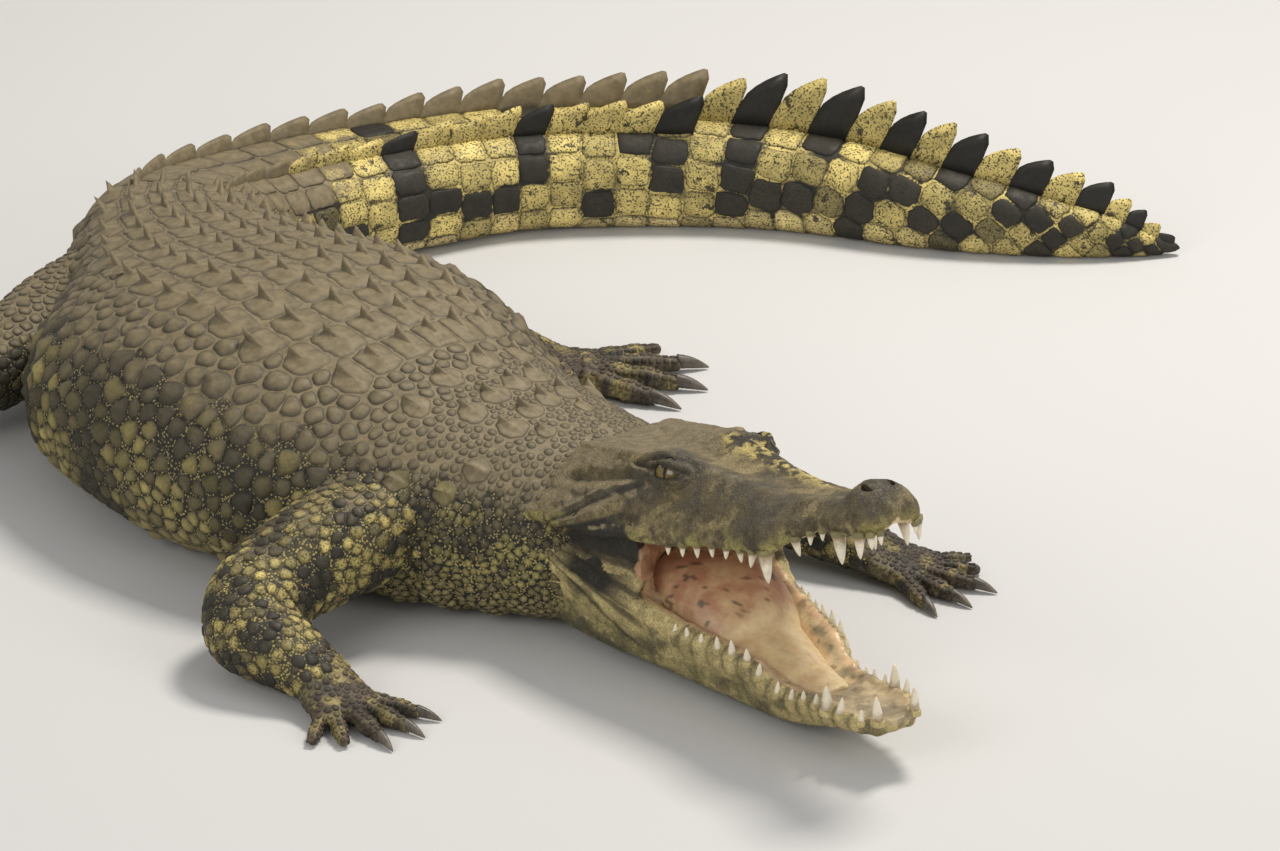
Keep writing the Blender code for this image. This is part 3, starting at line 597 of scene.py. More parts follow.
def digitGrid(root, way, reach, radius):
    # a toe with a swelling at each joint, down to the quick of its claw
    length = reach + feet["setBack"]
    rings = []
    for share in np.linspace(0, 1, 15):
        point = root + way * length * share
        point[2] = radius * (1.5 - 0.75 * share)
        knuckle = 1 + 0.09 * math.cos(share * 3 * 2 * math.pi)
        wide = radius * np.interp(share, (0, 0.7, 1), (1.0, 1.0, 0.74)) * knuckle
        high = radius * np.interp(share, (0, 0.7, 1), (1.12, 0.98, 0.72)) * knuckle
        rings.append(tubeRing(point, way, wide - 0.001, high - 0.001, 16))
    return np.array(rings)


eye = {
    "radius": 0.0175,
    "place": (0.668, 0.107, 0.126),   # behind the snout tip, sideways, up
    "stretch": 1.18,                  # how much longer the eyeball is than it is high
    "mound": (1.15, 1.28, 1.02),      # flesh round the eye: size, how much longer, higher
    "opening": (1.06, 0.27, 0.33),    # half length, rise and drop of the gap between the lids
    "lidReach": 0.034,
    # both lids and the grooves over and under them: height, its rise, width, relief
    "folds": ((0.0030, 0.0068, 0.0026, 0.0034), (-0.0030, -0.0070, 0.0024, 0.0018),
              (0.0080, 0.0085, 0.0026, -0.0030), (-0.0075, -0.0090, 0.0028, -0.0022)),
}


def lidGrid(side):
    # the mound of flesh round an eye, higher behind and over it
    centre = eyeCentre(side)
    look = eyeLook(side)
    along = unit(upFrame[:3, 0])
    up = unit(np.cross(look, along)) * side
    size, longer, higher = eye["mound"]
    rings = []
    for turn in np.linspace(0, math.pi, 15):
        radius = max(math.sin(turn) * eye["radius"] * size, 0.0004)
        middle = centre + look * math.cos(turn) * eye["radius"] * size
        rings.append(ovalRing(middle, along, up, radius * longer, radius * higher, 24))
    return np.array(rings)


def eyeCentre(side):
    behind, aside, height = eye["place"]
    return moved(upFrame, [(skull["upperTip"] - behind, side * aside, height)])[0]


def eyeLook(side):
    # eyes face sideways, a little up and forward
    ahead, left, up = (unit(upFrame[:3, k]) for k in range(3))
    return unit(left * side + up * 0.42 + ahead * 0.4)


# the regions a place can belong to
onBody, onUpper, onLower, onCheek, onLimb, onFoot = range(6)


def namedGrids():
    # every loft of the skin, with its region and its corner of the flat layout
    grids = [(bodyGrid(), onBody, (0, 0))]
    corners = ((0, 0.55), (0.25, 0.55), (0.5, 0.64))
    grids += list(zip(headGrids(), (onUpper, onLower, onCheek), corners))
    for i, name in enumerate(limbNames):
        corner = (0.6 + 0.19 * (i % 2), 0.25 + 0.18 * (i // 2))
        grids += [(limbGrid(name), onLimb, corner),
                  (palmGrid(name), onFoot, (0.75, 0.63 + 0.09 * i))]
        for j, digit in enumerate(footPlan(name)[2]):
            spot = (0.81 + 0.048 * (j // 2), 0.63 + 0.09 * i + 0.04 * (j % 2))
            grids.append((digitGrid(*digit), onFoot, spot))
    grids += [(lidGrid(1), onUpper, (0.95, 0.55)), (lidGrid(-1), onUpper, (0.95, 0.6))]
    return grids


lofts = namedGrids()


def headShare(places):
    # 1 on the head and jaws, falling to 0 on the neck
    local = inFrame(midFrame, places)
    ahead = ramp(-0.1, 0.02, local[:, 0])
    near = np.abs(local[:, 1]) < 0.34
    front = places[:, 1] < 0.2
    return ahead * near * front * (np.abs(local[:, 2]) < 0.6)


def makeSkin():
    piece = newPiece("skin", joinedLofts([grid for grid, _, _ in lofts]))
    mesh = applied(piece, "REMESH", mode="VOXEL", voxel_size=skinPlan["voxel"])
    print("  remeshed", len(mesh.polygons))
    places = placesOf(mesh)
    edges = gathered(mesh.edges, "vertices", 2, np.int32)
    head = headShare(places)
    places = smoothed(places, edges, np.full(len(places), 0.5), skinPlan["headSmoothing"])
    fleshShare = 0.5 * (1 - head) * (1 - footShare(places))
    places = smoothed(places, edges, fleshShare, skinPlan["limbSmoothing"])
    setPlaces(mesh, places)
    shapeSkin(mesh, head)
    group = piece.vertex_groups.new(name="coarse")
    group.add(np.flatnonzero(head < 0.5).tolist(), 1.0, "REPLACE")
    group.add(np.flatnonzero(head >= 0.5).tolist(), 0.32, "REPLACE")
    mesh = applied(piece, "DECIMATE", ratio=skinPlan["kept"], vertex_group="coarse",
                   vertex_group_factor=1.0)
    print("  skin triangles", len(mesh.polygons))
    return piece


def footShare(places):
    # 1 on the hands and feet, where smoothing would melt the digits
    share = np.zeros(len(places))
    for name in limbNames:
        end, flat, _ = footPlan(name)
        gap = np.linalg.norm(places - (end + flat * 0.01), axis=1)
        share = np.maximum(share, 1 - ramp(0.09, 0.12, gap))
    return share


def noiseAt(places, scale, shift=0.0, rough=1):
    # smooth noise between about -1 and 1
    offset = Vector((shift, shift * 0.7, -shift * 0.4))
    if rough > 1:
        return np.array([noise.fractal(Vector(p) * scale + offset, 0.8, 2.0, rough)
                         for p in places])
    return np.array([noise.noise(Vector(p) * scale + offset) for p in places])


def bump(x, centre, width):
    return np.exp(-((x - centre) / width) ** 2)


layoutSize = 2.4                 # metres of skin across the whole layout


def gridLayout(grid, corner):
    # for each place of a grid: its way along, its way round, and its spot on a flat layout
    middle = grid.mean(1)
    run = np.append(0, np.cumsum(np.linalg.norm(np.diff(middle, axis=0), axis=1)))
    ahead = unit(np.gradient(middle, axis=0))
    around = unit(np.roll(grid, -1, 1) - np.roll(grid, 1, 1))
    steps = np.linalg.norm(np.diff(grid, axis=1), axis=2)
    arc = np.concatenate([np.zeros((len(grid), 1)), np.cumsum(steps, 1)], 1)
    spot = np.dstack([np.repeat(run[:, None], grid.shape[1], 1), arc]) / layoutSize + corner
    ahead = np.repeat(ahead[:, None], grid.shape[1], 1)
    return [part.reshape(-1, part.shape[-1]) for part in (grid, ahead, around, spot)]


def makeGuide():
    # places all over the animal, each with its region, lie and spot on the layout
    parts = [gridLayout(grid, corner) for grid, _, corner in lofts]
    made = {key: np.vstack([part[k] for part in parts])
            for k, key in enumerate(("at", "along", "around", "spot"))}
    made["region"] = np.concatenate([np.full(grid.shape[0] * grid.shape[1], code)
                                     for grid, code, _ in lofts])
    made["tree"] = treeOf(made["at"])
    return made


def guideNear(places):
    return np.array([guide["tree"].find(place)[1] for place in places])


guide = makeGuide()
# each jaw's frame, tip, sizes, region, the column of its tooth line, and which way is out
jaws = {"upper": (upFrame, skull["upperTip"], upperSize, onUpper, 1, -1.0),
        "lower": (lowFrame, skull["lowerTip"], lowerSize, onLower, 2, 1.0)}


def regionsOf(places):
    return guide["region"][guideNear(places)]


teeth = {
    # behind the jaw tip in skull lengths, height in metres
    "upper": (
        (0.008, 0.010), (0.022, 0.014), (0.044, 0.022), (0.108, 0.030), (0.180, 0.009),
        (0.212, 0.011), (0.246, 0.017), (0.318, 0.030), (0.362, 0.015), (0.405, 0.011),
        (0.448, 0.010), (0.492, 0.011), (0.535, 0.012), (0.575, 0.010), (0.615, 0.008)),
    "lower": (
        (0.012, 0.026), (0.040, 0.012), (0.092, 0.017), (0.135, 0.030), (0.172, 0.012),
        (0.212, 0.011), (0.248, 0.013), (0.290, 0.013), (0.345, 0.014), (0.380, 0.017),
        (0.422, 0.018), (0.462, 0.015), (0.508, 0.011), (0.546, 0.011), (0.580, 0.009)),
    "slimness": 0.175,
    "base": 0.0018,          # added to every tooth's radius
    "root": 0.006,
    "inset": 0.95,
}


def toothPlaces(jaw):
    # root, way, height and side of every tooth, in the world
    matrix, tip, size, _, line, out = jaws[jaw]
    found = []
    for behind, height in teeth[jaw]:
        row = size(behind)
        for side in (1, -1):
            aside = side * row[0] * teeth["inset"]
            root = moved(matrix, [(tip - behind, aside, row[line])])[0]
            lean = matrix[:3, :3] @ np.array([0.02, side * 0.1, out])
            found.append((root, unit(lean), height, side, behind))
    return found


def eyeAxes(side):
    # an eye's middle, and its ways ahead, upward and outward
    look = eyeLook(side)
    along = unit(upFrame[:3, 0] - look * (upFrame[:3, 0] @ look))
    above = np.cross(look, along)
    return eyeCentre(side), along, above * np.sign(above[2]), look


def eyeLocal(places, side):
    # distances ahead of, above and outward from an eye's middle
    centre, along, above, look = eyeAxes(side)
    gap = places - centre
    return gap @ along, gap @ above, gap @ look


def eyeSlit(ahead, above, outward, width, start):
    # the crease that runs back from the corner of an eye
    crease = bump(above, 0.0016 - 0.05 * (ahead + 0.02), width) * (outward > -0.03)
    return crease * window(ahead, *start, -0.052, -0.066)


# shapes worked into the skin after the remesh, all in metres
headDetail = {
    "toothBulge": 0.0050,
    "rugged": 0.0013,
    "browRidge": 0.0050,
    "earGroove": 0.0060,
    "cheekFold": 0.0032,
}


def headRelief(places, normals, region):
    # how far each place of the head moves out along its normal
    out = np.zeros(len(places))
    up = inFrame(upFrame, places)
    behind = skull["upperTip"] - up[:, 0]
    upper = region == onUpper
    fine = noiseAt(places, 60, 3.1, 4)
    coarse = noiseAt(places, 24, 8.7)
    out += headDetail["rugged"] * (fine * 0.9 + coarse * 0.8)
    # swellings of the bone over the roots of the teeth
    for jaw in jaws:
        ids = np.flatnonzero(region == jaws[jaw][3])
        for root, way, height, _, _ in toothPlaces(jaw):
            size = 0.5 + height * 28
            centre = root - way * (0.013 + height * 0.25)
            gap = places[ids] - centre
            along = gap @ way
            beside = np.linalg.norm(gap - along[:, None] * way, axis=1)
            wide = 0.0056 + height * 0.11
            near = np.exp(-(beside / wide) ** 2 - (along / (wide * 1.9)) ** 2)
            out[ids] += headDetail["toothBulge"] * size * near * 0.62
    # ridge from the brow towards the snout, and the raised rim of the skull table
    for side in (1, -1):
        aside = up[:, 1] * side
        line = np.interp(behind, (0.3, 0.45, 0.62, 0.7), (0.04, 0.058, 0.078, 0.098))
        ridge = bump(aside, line, 0.016) * window(behind, 0.26, 0.5, 0.7, 0.78)
        ridge = ridge * (normals[:, 2] > 0.1)
        rim = bump(aside, 0.112, 0.012) * window(behind, 0.7, 0.76, 1.0, 1.04)
        out += headDetail["browRidge"] * (ridge * 0.55 + rim * 0.6) * upper
        groove = bump(up[:, 2], np.interp(behind, (0.72, 0.96), (0.126, 0.108)), 0.01)
        groove = groove * window(behind, 0.725, 0.76, 0.93, 0.98)
        out -= headDetail["earGroove"] * groove * upper * (aside > 0.1)
    # lids, and the folds that run round and behind each eye
    for side in (1, -1):
        ahead, above, outward = eyeLocal(places, side)
        arch = 1 - (ahead / eye["lidReach"]) ** 2
        on = (np.abs(ahead) < eye["lidReach"]) * (outward > -0.006) * ramp(0, 0.3, arch)
        for base, rise, width, height in eye["folds"]:
            out += bump(above, base + rise * arch, width) * height * on * upper
        slit = eyeSlit(ahead, above, outward, 0.0026, (-0.014, -0.024))
        out -= slit * 0.0038 * upper
    # a dip along the middle of the snout
    middle = bump(up[:, 1], 0, 0.03) * window(behind, 0.2, 0.3, 0.55, 0.65)
    out -= 0.0022 * middle * upper
    # folds of the cheek fan out from the corner of the mouth
    out += headDetail["cheekFold"] * cheekFolds(places) * 0.5
    return out


def cheekFolds(places):
    # high on each fold and low between two, from -1 to 1
    mid = inFrame(midFrame, places)
    coarse = noiseAt(places, 24, 8.7)
    turn = np.arctan2(mid[:, 2], mid[:, 0] - 0.02)
    reach = np.hypot(mid[:, 0] - 0.02, mid[:, 2])
    fan = np.sin(turn * 34 + coarse * 1.2) * window(reach, 0.02, 0.1, 0.3, 0.42)
    fan = fan * (np.abs(mid[:, 1]) > 0.12)
    return fan * ramp(-0.02, 0.06, mid[:, 0]) * (np.abs(turn) < 0.62)


def betweenTeeth(behind, jaw):
    # 1 half way between two teeth, 0 beside each
    middles = np.array([(a[0] + b[0]) / 2 for a, b in zip(teeth[jaw], teeth[jaw][1:])])
    return bump(np.abs(behind[:, None] - middles).min(1), 0, 0.0055)


def bodyRelief(places, region):
    # folds of loose skin in front of the shoulder, and soft unevenness everywhere
    station, _, _ = findStations(places)
    soft = noiseAt(places, 14, 1.3)
    out = 0.0016 * soft * (region != onFoot)
    neck = window(station, -0.02, 0.04, 0.17, 0.25)
    low = 1 - ramp(0.13, 0.19, places[:, 2])
    folds = np.sin(station * 150 + soft * 1.5 + places[:, 2] * 22)
    return out + 0.0036 * folds * neck * low * (region == onBody)


def shapeSkin(mesh, head):
    places, normals = placesOf(mesh), normalsOf(mesh)
    region = regionsOf(places)
    out = np.zeros(len(places))
    ids = np.flatnonzero((head > 0) & (region < onLimb))
    out[ids] += headRelief(places[ids], normals[ids], region[ids]) * head[ids]
    ids = np.flatnonzero((head < 1) & (places[:, 1] < 0.55))
    out[ids] += bodyRelief(places[ids], region[ids]) * (1 - head[ids])
    out *= ramp(0.002, 0.02, places[:, 2])
    places = places + normals * out[:, None]
    places[:, 2] = np.maximum(places[:, 2], body["floorHeight"])
    setPlaces(mesh, places)


def almondCutter(side):
    # the opening between the lids, seen from the side of the head
    centre, along, up, look = eyeAxes(side)
    reach, rise, drop = eye["opening"]
    angles = circleAngles(28)
    wide = np.cos(angles)
    high = np.sin(angles) * (1 - 0.45 * np.abs(wide) ** 2.2)
    high = high * np.where(high > 0, rise, drop)
    corners = (wide[:, None] * along * reach + high[:, None] * up) * eye["radius"]
    centre = centre - up * 0.0008
    grid = np.array([centre + look * 0.002 + corners, centre + look * 0.05 + corners * 1.25])
    return newPiece("almond", joinedLofts([grid]))


def cutAway(piece, cutter):
    applied(piece, "BOOLEAN", operation="DIFFERENCE", solver="EXACT", object=cutter)
    old = cutter.data
    bpy.data.objects.remove(cutter)
    bpy.data.meshes.remove(old)


def eyeball(name, side, swell=1.0):
    # a ball a little longer than high, and each place's direction from its middle
    centre, along, above, look = eyeAxes(side)
    angles = circleAngles(48)
    turns = np.linspace(0.02, math.pi - 0.02, 40)[:, None]
    local = np.dstack([np.cos(angles) * np.sin(turns), np.sin(angles) * np.sin(turns),
                       np.cos(turns) + 0 * angles])
    axes = np.array([along * eye["stretch"], above, look]) * eye["radius"] * swell
    piece = newPiece(name, joinedLofts([centre + local @ axes]))
    return piece, np.vstack([local.reshape(-1, 3), [(0, 0, 1), (0, 0, -1)]])


def openEyes(piece):
    for side in (1, -1):
        cutAway(piece, almondCutter(side))
        cutAway(piece, eyeball("socket", side, 1.03)[0])


def openNostrils(piece):
    # two slits on top of the snout's disc, each bent round its outer side
    for side in (1, -1):
        rings = []
        for share in np.linspace(0, 1, 9):
            turn = math.radians(-60 + 120 * share)
            behind = 0.062 - 0.016 * math.cos(turn) * 0.2 + 0.02 * math.sin(turn)
            aside = 0.018 + 0.014 * math.cos(turn)
            top = upperSize(behind)[5] - 0.01 - 0.25 * max(0, aside - 0.02)
            centre = moved(upFrame, [(skull["upperTip"] - behind, side * aside, top)])[0]
            wide = 0.0042 * math.sin(math.pi * (0.08 + 0.84 * share))
            rings.append((centre, wide))
        centres = np.array([c for c, _ in rings])
        ways = unit(np.gradient(centres, axis=0))
        upward = unit(upFrame[:3, 2])
        grid = []
        for (centre, wide), way in zip(rings, ways):
            across = unit(np.cross(upward, way))
            grid.append(ovalRing(centre, across, upward, wide, 0.012, 12))
        cutAway(piece, newPiece("nostril", joinedLofts([np.array(grid)])))


def whorlEdges():
    edges = [tail["start"]]
    while edges[-1] < spine["bends"][-1][0] - tail["whorlAtTip"]:
        share = (edges[-1] - tail["start"]) / tail["length"]
        edges.append(edges[-1] + tail["whorlAtBase"]
                     + share * (tail["whorlAtTip"] - tail["whorlAtBase"]))
    return np.array(edges)


whorls = whorlEdges()


# the animal's colours, as linear red, green and blue
hide = {
    "mud": (0.235, 0.187, 0.106),
    "oldMud": (0.150, 0.118, 0.066),
    "olive": (0.120, 0.098, 0.046),
    "greyOlive": (0.130, 0.104, 0.058),
    "flankYellow": (0.310, 0.255, 0.085),
    "bright": (0.620, 0.495, 0.165),
    "paleYellow": (0.620, 0.500, 0.230),
    "limbYellow": (0.460, 0.370, 0.120),
    "lime": (0.370, 0.320, 0.105),
    "black": (0.020, 0.018, 0.014),
    "slate": (0.070, 0.062, 0.044),
    "headBrown": (0.118, 0.090, 0.046),
    "headLight": (0.290, 0.225, 0.105),
    "jawCream": (0.560, 0.450, 0.200),
    "jawGreen": (0.240, 0.205, 0.090),
    # painted shade on the lower jaw: along its lower edge, under the throat and between the teeth
    "jawShade": (0.080, 0.070, 0.042),
    "gum": (0.620, 0.400, 0.230),
    "gumCream": (0.480, 0.375, 0.220),
    "gumGrey": (0.310, 0.250, 0.150),
    "mouth": (0.400, 0.205, 0.110),
    "mouthPale": (0.620, 0.460, 0.250),
    # dark skin and specks, and the colour of the painted shade at the mouth's corner, between the
    # cheek folds and round the eyes
    "darkSkinAndShade": (0.030, 0.026, 0.018),
    "foot": (0.090, 0.066, 0.042),
    "belly": (0.380, 0.310, 0.140),
    "grain": (0.430, 0.350, 0.130),
}


def mixed(a, b, share):
    share = np.asarray(share)[..., None]
    return np.asarray(a) * (1 - share) + np.asarray(b) * share


def layered(tint, *layers):
    # named colours laid over a tint one after the other, each with its share
    for name, share in layers:
        tint = mixed(tint, hide[name], share)
    return tint


def insideMouth(normals, region, up, low, mid, upRow, lowRow):
    # 1 on the palate, the gums, the floor and the back wall
    upNormal = normals @ unit(upFrame[:3, 2])
    lowNormal = normals @ unit(lowFrame[:3, 2])
    upAside, lowAside = np.abs(up[:, 1]), np.abs(low[:, 1])
    palate = (region == onUpper) & (upAside < upRow[:, 0] * 0.9) & (upNormal < -0.25)
    palate &= up[:, 2] < upRow[:, 1] + 0.03
    palate &= (up[:, 0] > skull["upperTip"] - 0.72) | (upAside < upRow[:, 0] * 0.6)
    floor = (region == onLower) & (lowAside < lowRow[:, 0] * 0.86)
    floor &= low[:, 2] > lowRow[:, 4] - 0.015
    floor &= (lowNormal > 0.1) | (lowAside < lowRow[:, 3] * 1.04)
    wall = (region == onCheek) & (mid[:, 0] > 0.22) & (np.abs(mid[:, 1]) < 0.185)
    return (palate | floor | wall).astype(float)


def heightShare(station, height):
    # 0 on the floor and 1 on top of the back or tail
    return height / np.maximum(bodySize(station)[:, 2], 0.02)


def paintBody(places, *_):
    station, _, height = findStations(places)
    share = heightShare(station, height)
    patch = noiseAt(places, 9, 4.4, 3)
    fine = noiseAt(places, 38, 9.2, 3)
    yellow = ramp(-0.15, 0.35, fine + 0.35 * ramp(0.66, 0.3, share))
    lime = ramp(0.22, 0.04, station) * ramp(0.8, 0.5, share)
    # dark blotches in upright bands low on the flanks
    band = bump(station, 0.645, 0.03) + bump(station, 0.475, 0.042)
    band = band + 0.8 * ramp(0.15, 0.5, patch)
    dark = np.clip(band * ramp(0.78, 0.5, share), 0, 1)
    tint = layered(
        hide["greyOlive"],
        ("olive", ramp(0.75, 0.45, share)),
        ("flankYellow", yellow * ramp(0.86, 0.55, share)),
        ("lime", lime * 0.85 * ramp(-0.3, 0.2, fine)),
        ("black", dark * 0.86),
        ("belly", ramp(0.1, 0.02, height) * ramp(0.25, 0.1, dark)))
    # the tail's own colours start behind the hips
    onTail = ramp(1.0, 1.12, station)
    tint = mixed(tint, tailColours(places, station, height, share), onTail)
    # dried mud over the back
    muddy = ramp(0.66, 0.9, share + 0.1 * fine)
    muddy = muddy * (1 - ramp(1.12, 1.32, station + 0.05 * patch))
    hips = bump(station, 0.98, 0.14) * ramp(0.3, 0.6, share)
    neckTop = ramp(0.3, 0.05, station) * ramp(0.8, 0.92, share)
    muddy = np.maximum(np.maximum(muddy, hips * 0.95), neckTop * 0.8)
    return {"tint": tint, "mud": np.clip(muddy, 0, 1), "mark": 0.25 + 0.75 * onTail,
            "grit": (1 - onTail) * (1 - 0.75 * muddy)}


def tailColours(places, station, height, share):
    # yellow plates with checker blocks and bands of black, ring by ring
    ring = station - whorlSlope(station)[:, 0] * height
    count = np.clip(np.searchsorted(whorls, ring) - 1, 0, len(whorls) - 2)
    banded = inBand(count)
    lower = np.where(count < tail["checkered"], count % 4 == 1, count % 3 == 0)
    patch = noiseAt(places, 21, 6.6, 2)
    speck = noiseAt(places, 60, 2.9, 2)
    late = (station > 1.7) & banded & (share > 0.2)
    dark = np.where(share > 0.52, banded, (lower | late) * (share > 0.14))
    dark = np.clip(dark * ramp(-0.42, -0.12, patch + 0.4 * speck)
                   + ramp(0.3, 0.42, patch + 0.2 * speck), 0, 1)
    dark = dark * ramp(0.06, 0.16, share)
    return layered(hide["bright"],
                   ("paleYellow", ramp(0.24, 0.08, share)),
                   ("flankYellow", ramp(0.0, 0.35, -patch) * 0.55),
                   ("black", dark * 0.985))


def inBand(ring):
    # the rings of the tail that carry a band of black over the top
    return np.where(ring < tail["checkered"], ring % 4 == 3, ring % 2 == 1)


def paintLimb(places, normals, _):
    blotch = noiseAt(places, 26, 2.2, 3)
    speck = noiseAt(places, 75, 6.2, 2)
    height = places[:, 2]
    lower = ramp(0.105, 0.035, height) * 0.16
    tint = layered(hide["limbYellow"],
                   ("olive", ramp(-0.1, 0.5, speck) * 0.7),
                   ("black", ramp(0.02, 0.16, blotch + 0.3 * speck + lower) * 0.93))
    rear = (places[:, 0] < -0.2) & (places[:, 1] > -0.25)
    top = ramp(0.055, 0.12, height) * ramp(0.5, 0.95, normals[:, 2])
    return {"tint": tint, "mud": top * np.where(rear, 0.85, 0.35), "mark": 0.8, "grit": 0.9}


def paintFoot(places, *_):
    band = noiseAt(places * (1, 1, 0.3), 60, 7.7, 2)
    wide = noiseAt(places, 22, 5.5, 2)
    tint = layered(hide["foot"],
                   ("bright", ramp(0.12, 0.4, band) * 0.42),
                   ("black", ramp(0.0, 0.35, wide) * 0.55))
    return {"tint": tint, "mud": 0.25, "mark": 0.4}


def paintHead(places, normals, region):
    up, low, mid = (inFrame(m, places) for m in (upFrame, lowFrame, midFrame))
    behind, lowBehind = skull["upperTip"] - up[:, 0], skull["lowerTip"] - low[:, 0]
    upRow, lowRow = upperSize(behind), lowerSize(lowBehind)
    overLip = up[:, 2] - upRow[:, 1]
    overGum = low[:, 2] - lowRow[:, 1]
    jawShare = (region == onLower).astype(float)
    cheekShare = (region == onCheek).astype(float)
    patch = noiseAt(places, 30, 3.3, 3)
    fine = noiseAt(places, 120, 1.9, 3)
    coarse = noiseAt(places, 14, 6.1, 3)
    # upper head: brown-grey, lime near the lip, with a yellow patch on the crown, dark
    # nostrils and a mottled left side
    lip = ramp(0.05, 0.008, overLip)
    # painted shade in the grooves between the swellings over the upper teeth
    slots = betweenTeeth(behind, "upper") * ramp(0.034, 0.012, overLip)
    crown = bump(up[:, 1], 0.03, 0.05) * bump(behind, 0.755, 0.06)
    nose = bump(up[:, 1], 0, 0.045) * bump(behind, 0.055, 0.045) * (overLip > 0.04)
    tint = layered(
        hide["headBrown"],
        ("olive", ramp(-0.2, 0.5, patch) * 0.7),
        ("headLight", ramp(0.0, 0.45, coarse + 0.5 * fine) * 0.75),
        ("slate", ramp(0.05, 0.45, -coarse + 0.4 * fine) * 0.75),
        ("lime", ramp(-0.1, 0.2, patch + 0.5 * fine) * lip * 0.75),
        ("black", slots * 0.5),
        ("bright", crown * ramp(-0.05, 0.15, fine + 0.3) * 0.55),
        ("black", nose * 0.7))
    farSide = ramp(0.02, 0.06, up[:, 1]) * window(behind, 0.22, 0.34, 0.8, 0.9)
    mottle = mixed(hide["black"], hide["bright"], ramp(-0.06, 0.12, fine + 0.6 * patch))
    tint = mixed(tint, mottle, farSide * 0.75)
    # the lip rises in an arch above painted shade in the gap between the jaws at the corner of the
    # mouth
    arch = np.interp(behind, (0.68, 0.73, 0.8, 0.88, 0.97), (-0.02, 0.036, 0.044, 0.03, -0.02))
    shadow = ramp(0.006, -0.006, up[:, 2] - arch) * (behind > 0.66)
    tint = layered(tint, ("flankYellow", ramp(0.05, 0.0, behind) * lip * 0.8),
                   ("darkSkinAndShade", shadow))
    # round each eye: dark rims of the lids, with painted shade in the crease behind the eye, in the
    # groove over the lid and in the socket round the eyeball
    for side in (1, -1):
        ahead, above, outward = eyeLocal(places, side)
        arch = 1 - (ahead / eye["lidReach"]) ** 2
        rim = np.abs(above - np.where(above > 0, 0.0066, -0.0072) * arch)
        rim = ramp(0.0026, 0.001, rim) * (np.abs(ahead) < 0.026) * (outward > 0)
        slit = eyeSlit(ahead, above, outward, 0.0024, (-0.012, -0.02))
        inside = (outward > 0) & (outward < eye["radius"] * 1.02) & (
            np.hypot(ahead / eye["stretch"], above * 2.2) < eye["radius"] * 0.9)
        browShade = bump(above, 0.0098 + 0.007 * arch, 0.0026) * (outward > -0.01)
        browShade = browShade * window(ahead, 0.02, 0.012, -0.04, -0.052)
        lidRimsAndShade = np.clip(rim + slit + inside + browShade, 0, 1) * 0.92
        tint = layered(tint, ("darkSkinAndShade", lidRimsAndShade))
    facingUp = normals[:, 2]
    mud = ramp(0.55, 0.85, behind) * ramp(0.5, 0.9, facingUp) * 0.9
    mud = np.maximum(mud, 0.3 * ramp(0.5, 0.95, facingUp) * (1 - farSide))
    # lower jaw: cream, turning green-grey lower down, with painted shade along the lower edge and
    # the throat
    fall = lowRow[:, 2] - low[:, 2] + 0.03 * patch
    # painted shade in the grooves between the swellings under the lower teeth
    slots = betweenTeeth(lowBehind, "lower") * ramp(0.06, 0.02, fall)
    # painted shade in the gap between the jaws, low at the corner of the mouth
    corner = ramp(-0.04, -0.02, overGum) * bump(lowBehind, 0.82, 0.1)
    jaw = layered(
        hide["jawCream"],
        ("jawGreen", ramp(0.02, 0.1, fall)),
        ("jawShade", ramp(0.1, 0.17, fall) * 0.45),
        ("slate", ramp(0.12, 0.42, patch + fine * 0.4) * 0.5),
        ("jawCream", ramp(0.1, 0.35, -patch + fine * 0.5) * 0.55),
        ("jawShade", slots * 0.62),
        ("darkSkinAndShade", np.clip(corner * 1.3, 0, 1)))
    tint = mixed(tint, jaw, jawShare)
    # cheek: cream folds, with painted shade from the gap between the jaws above them
    over = ramp(-0.055, 0.01, mid[:, 2] + 0.02 * patch)
    cheek = layered(hide["jawCream"], ("darkSkinAndShade", over * ramp(0.03, 0.12, mid[:, 0])))
    tint = mixed(tint, cheek, cheekShare)
    # painted shade in the creases between the cheek folds
    tint = layered(tint, ("darkSkinAndShade", ramp(-0.25, -0.85, cheekFolds(places)) * 0.72))
    # inside of the mouth, with the grey-cream skin of the jaw's sides and front
    wet = insideMouth(normals, region, up, low, mid, upRow, lowRow)
    pale = ramp(0.35, 0.75, mid[:, 0]) + 0.25 * patch
    mouth = mixed(hide["mouth"], hide["mouthPale"], np.clip(pale, 0, 1))
    ramus = layered(hide["gumCream"],
                    ("gumGrey", ramp(-0.1, 0.3, patch + 0.3 * fine)),
                    ("slate", ramp(0.2, 0.5, patch - 0.2 * fine) * 0.3))
    side = ramp(-0.034, -0.012, overGum) * jawShare
    front = ramp(0.3, 0.2, lowBehind) * jawShare
    mouth = mixed(mouth, ramus, np.maximum(side, front * 0.85))
    gum = ramp(-0.01, -0.002, overGum) * jawShare
    specks = ramp(0.44, 0.58, noiseAt(places, 110, 12.1, 2)) * 0.4
    mouth = layered(mouth, ("gum", gum * 0.7 * (1 - front)), ("darkSkinAndShade", specks))
    mud = mud * (1 - jawShare) * (1 - cheekShare) * (1 - wet)
    return {"tint": mixed(tint, mouth, wet), "mud": mud, "wet": wet, "crack": 1 - wet,
            "mark": 0.25 * (1 - wet)}


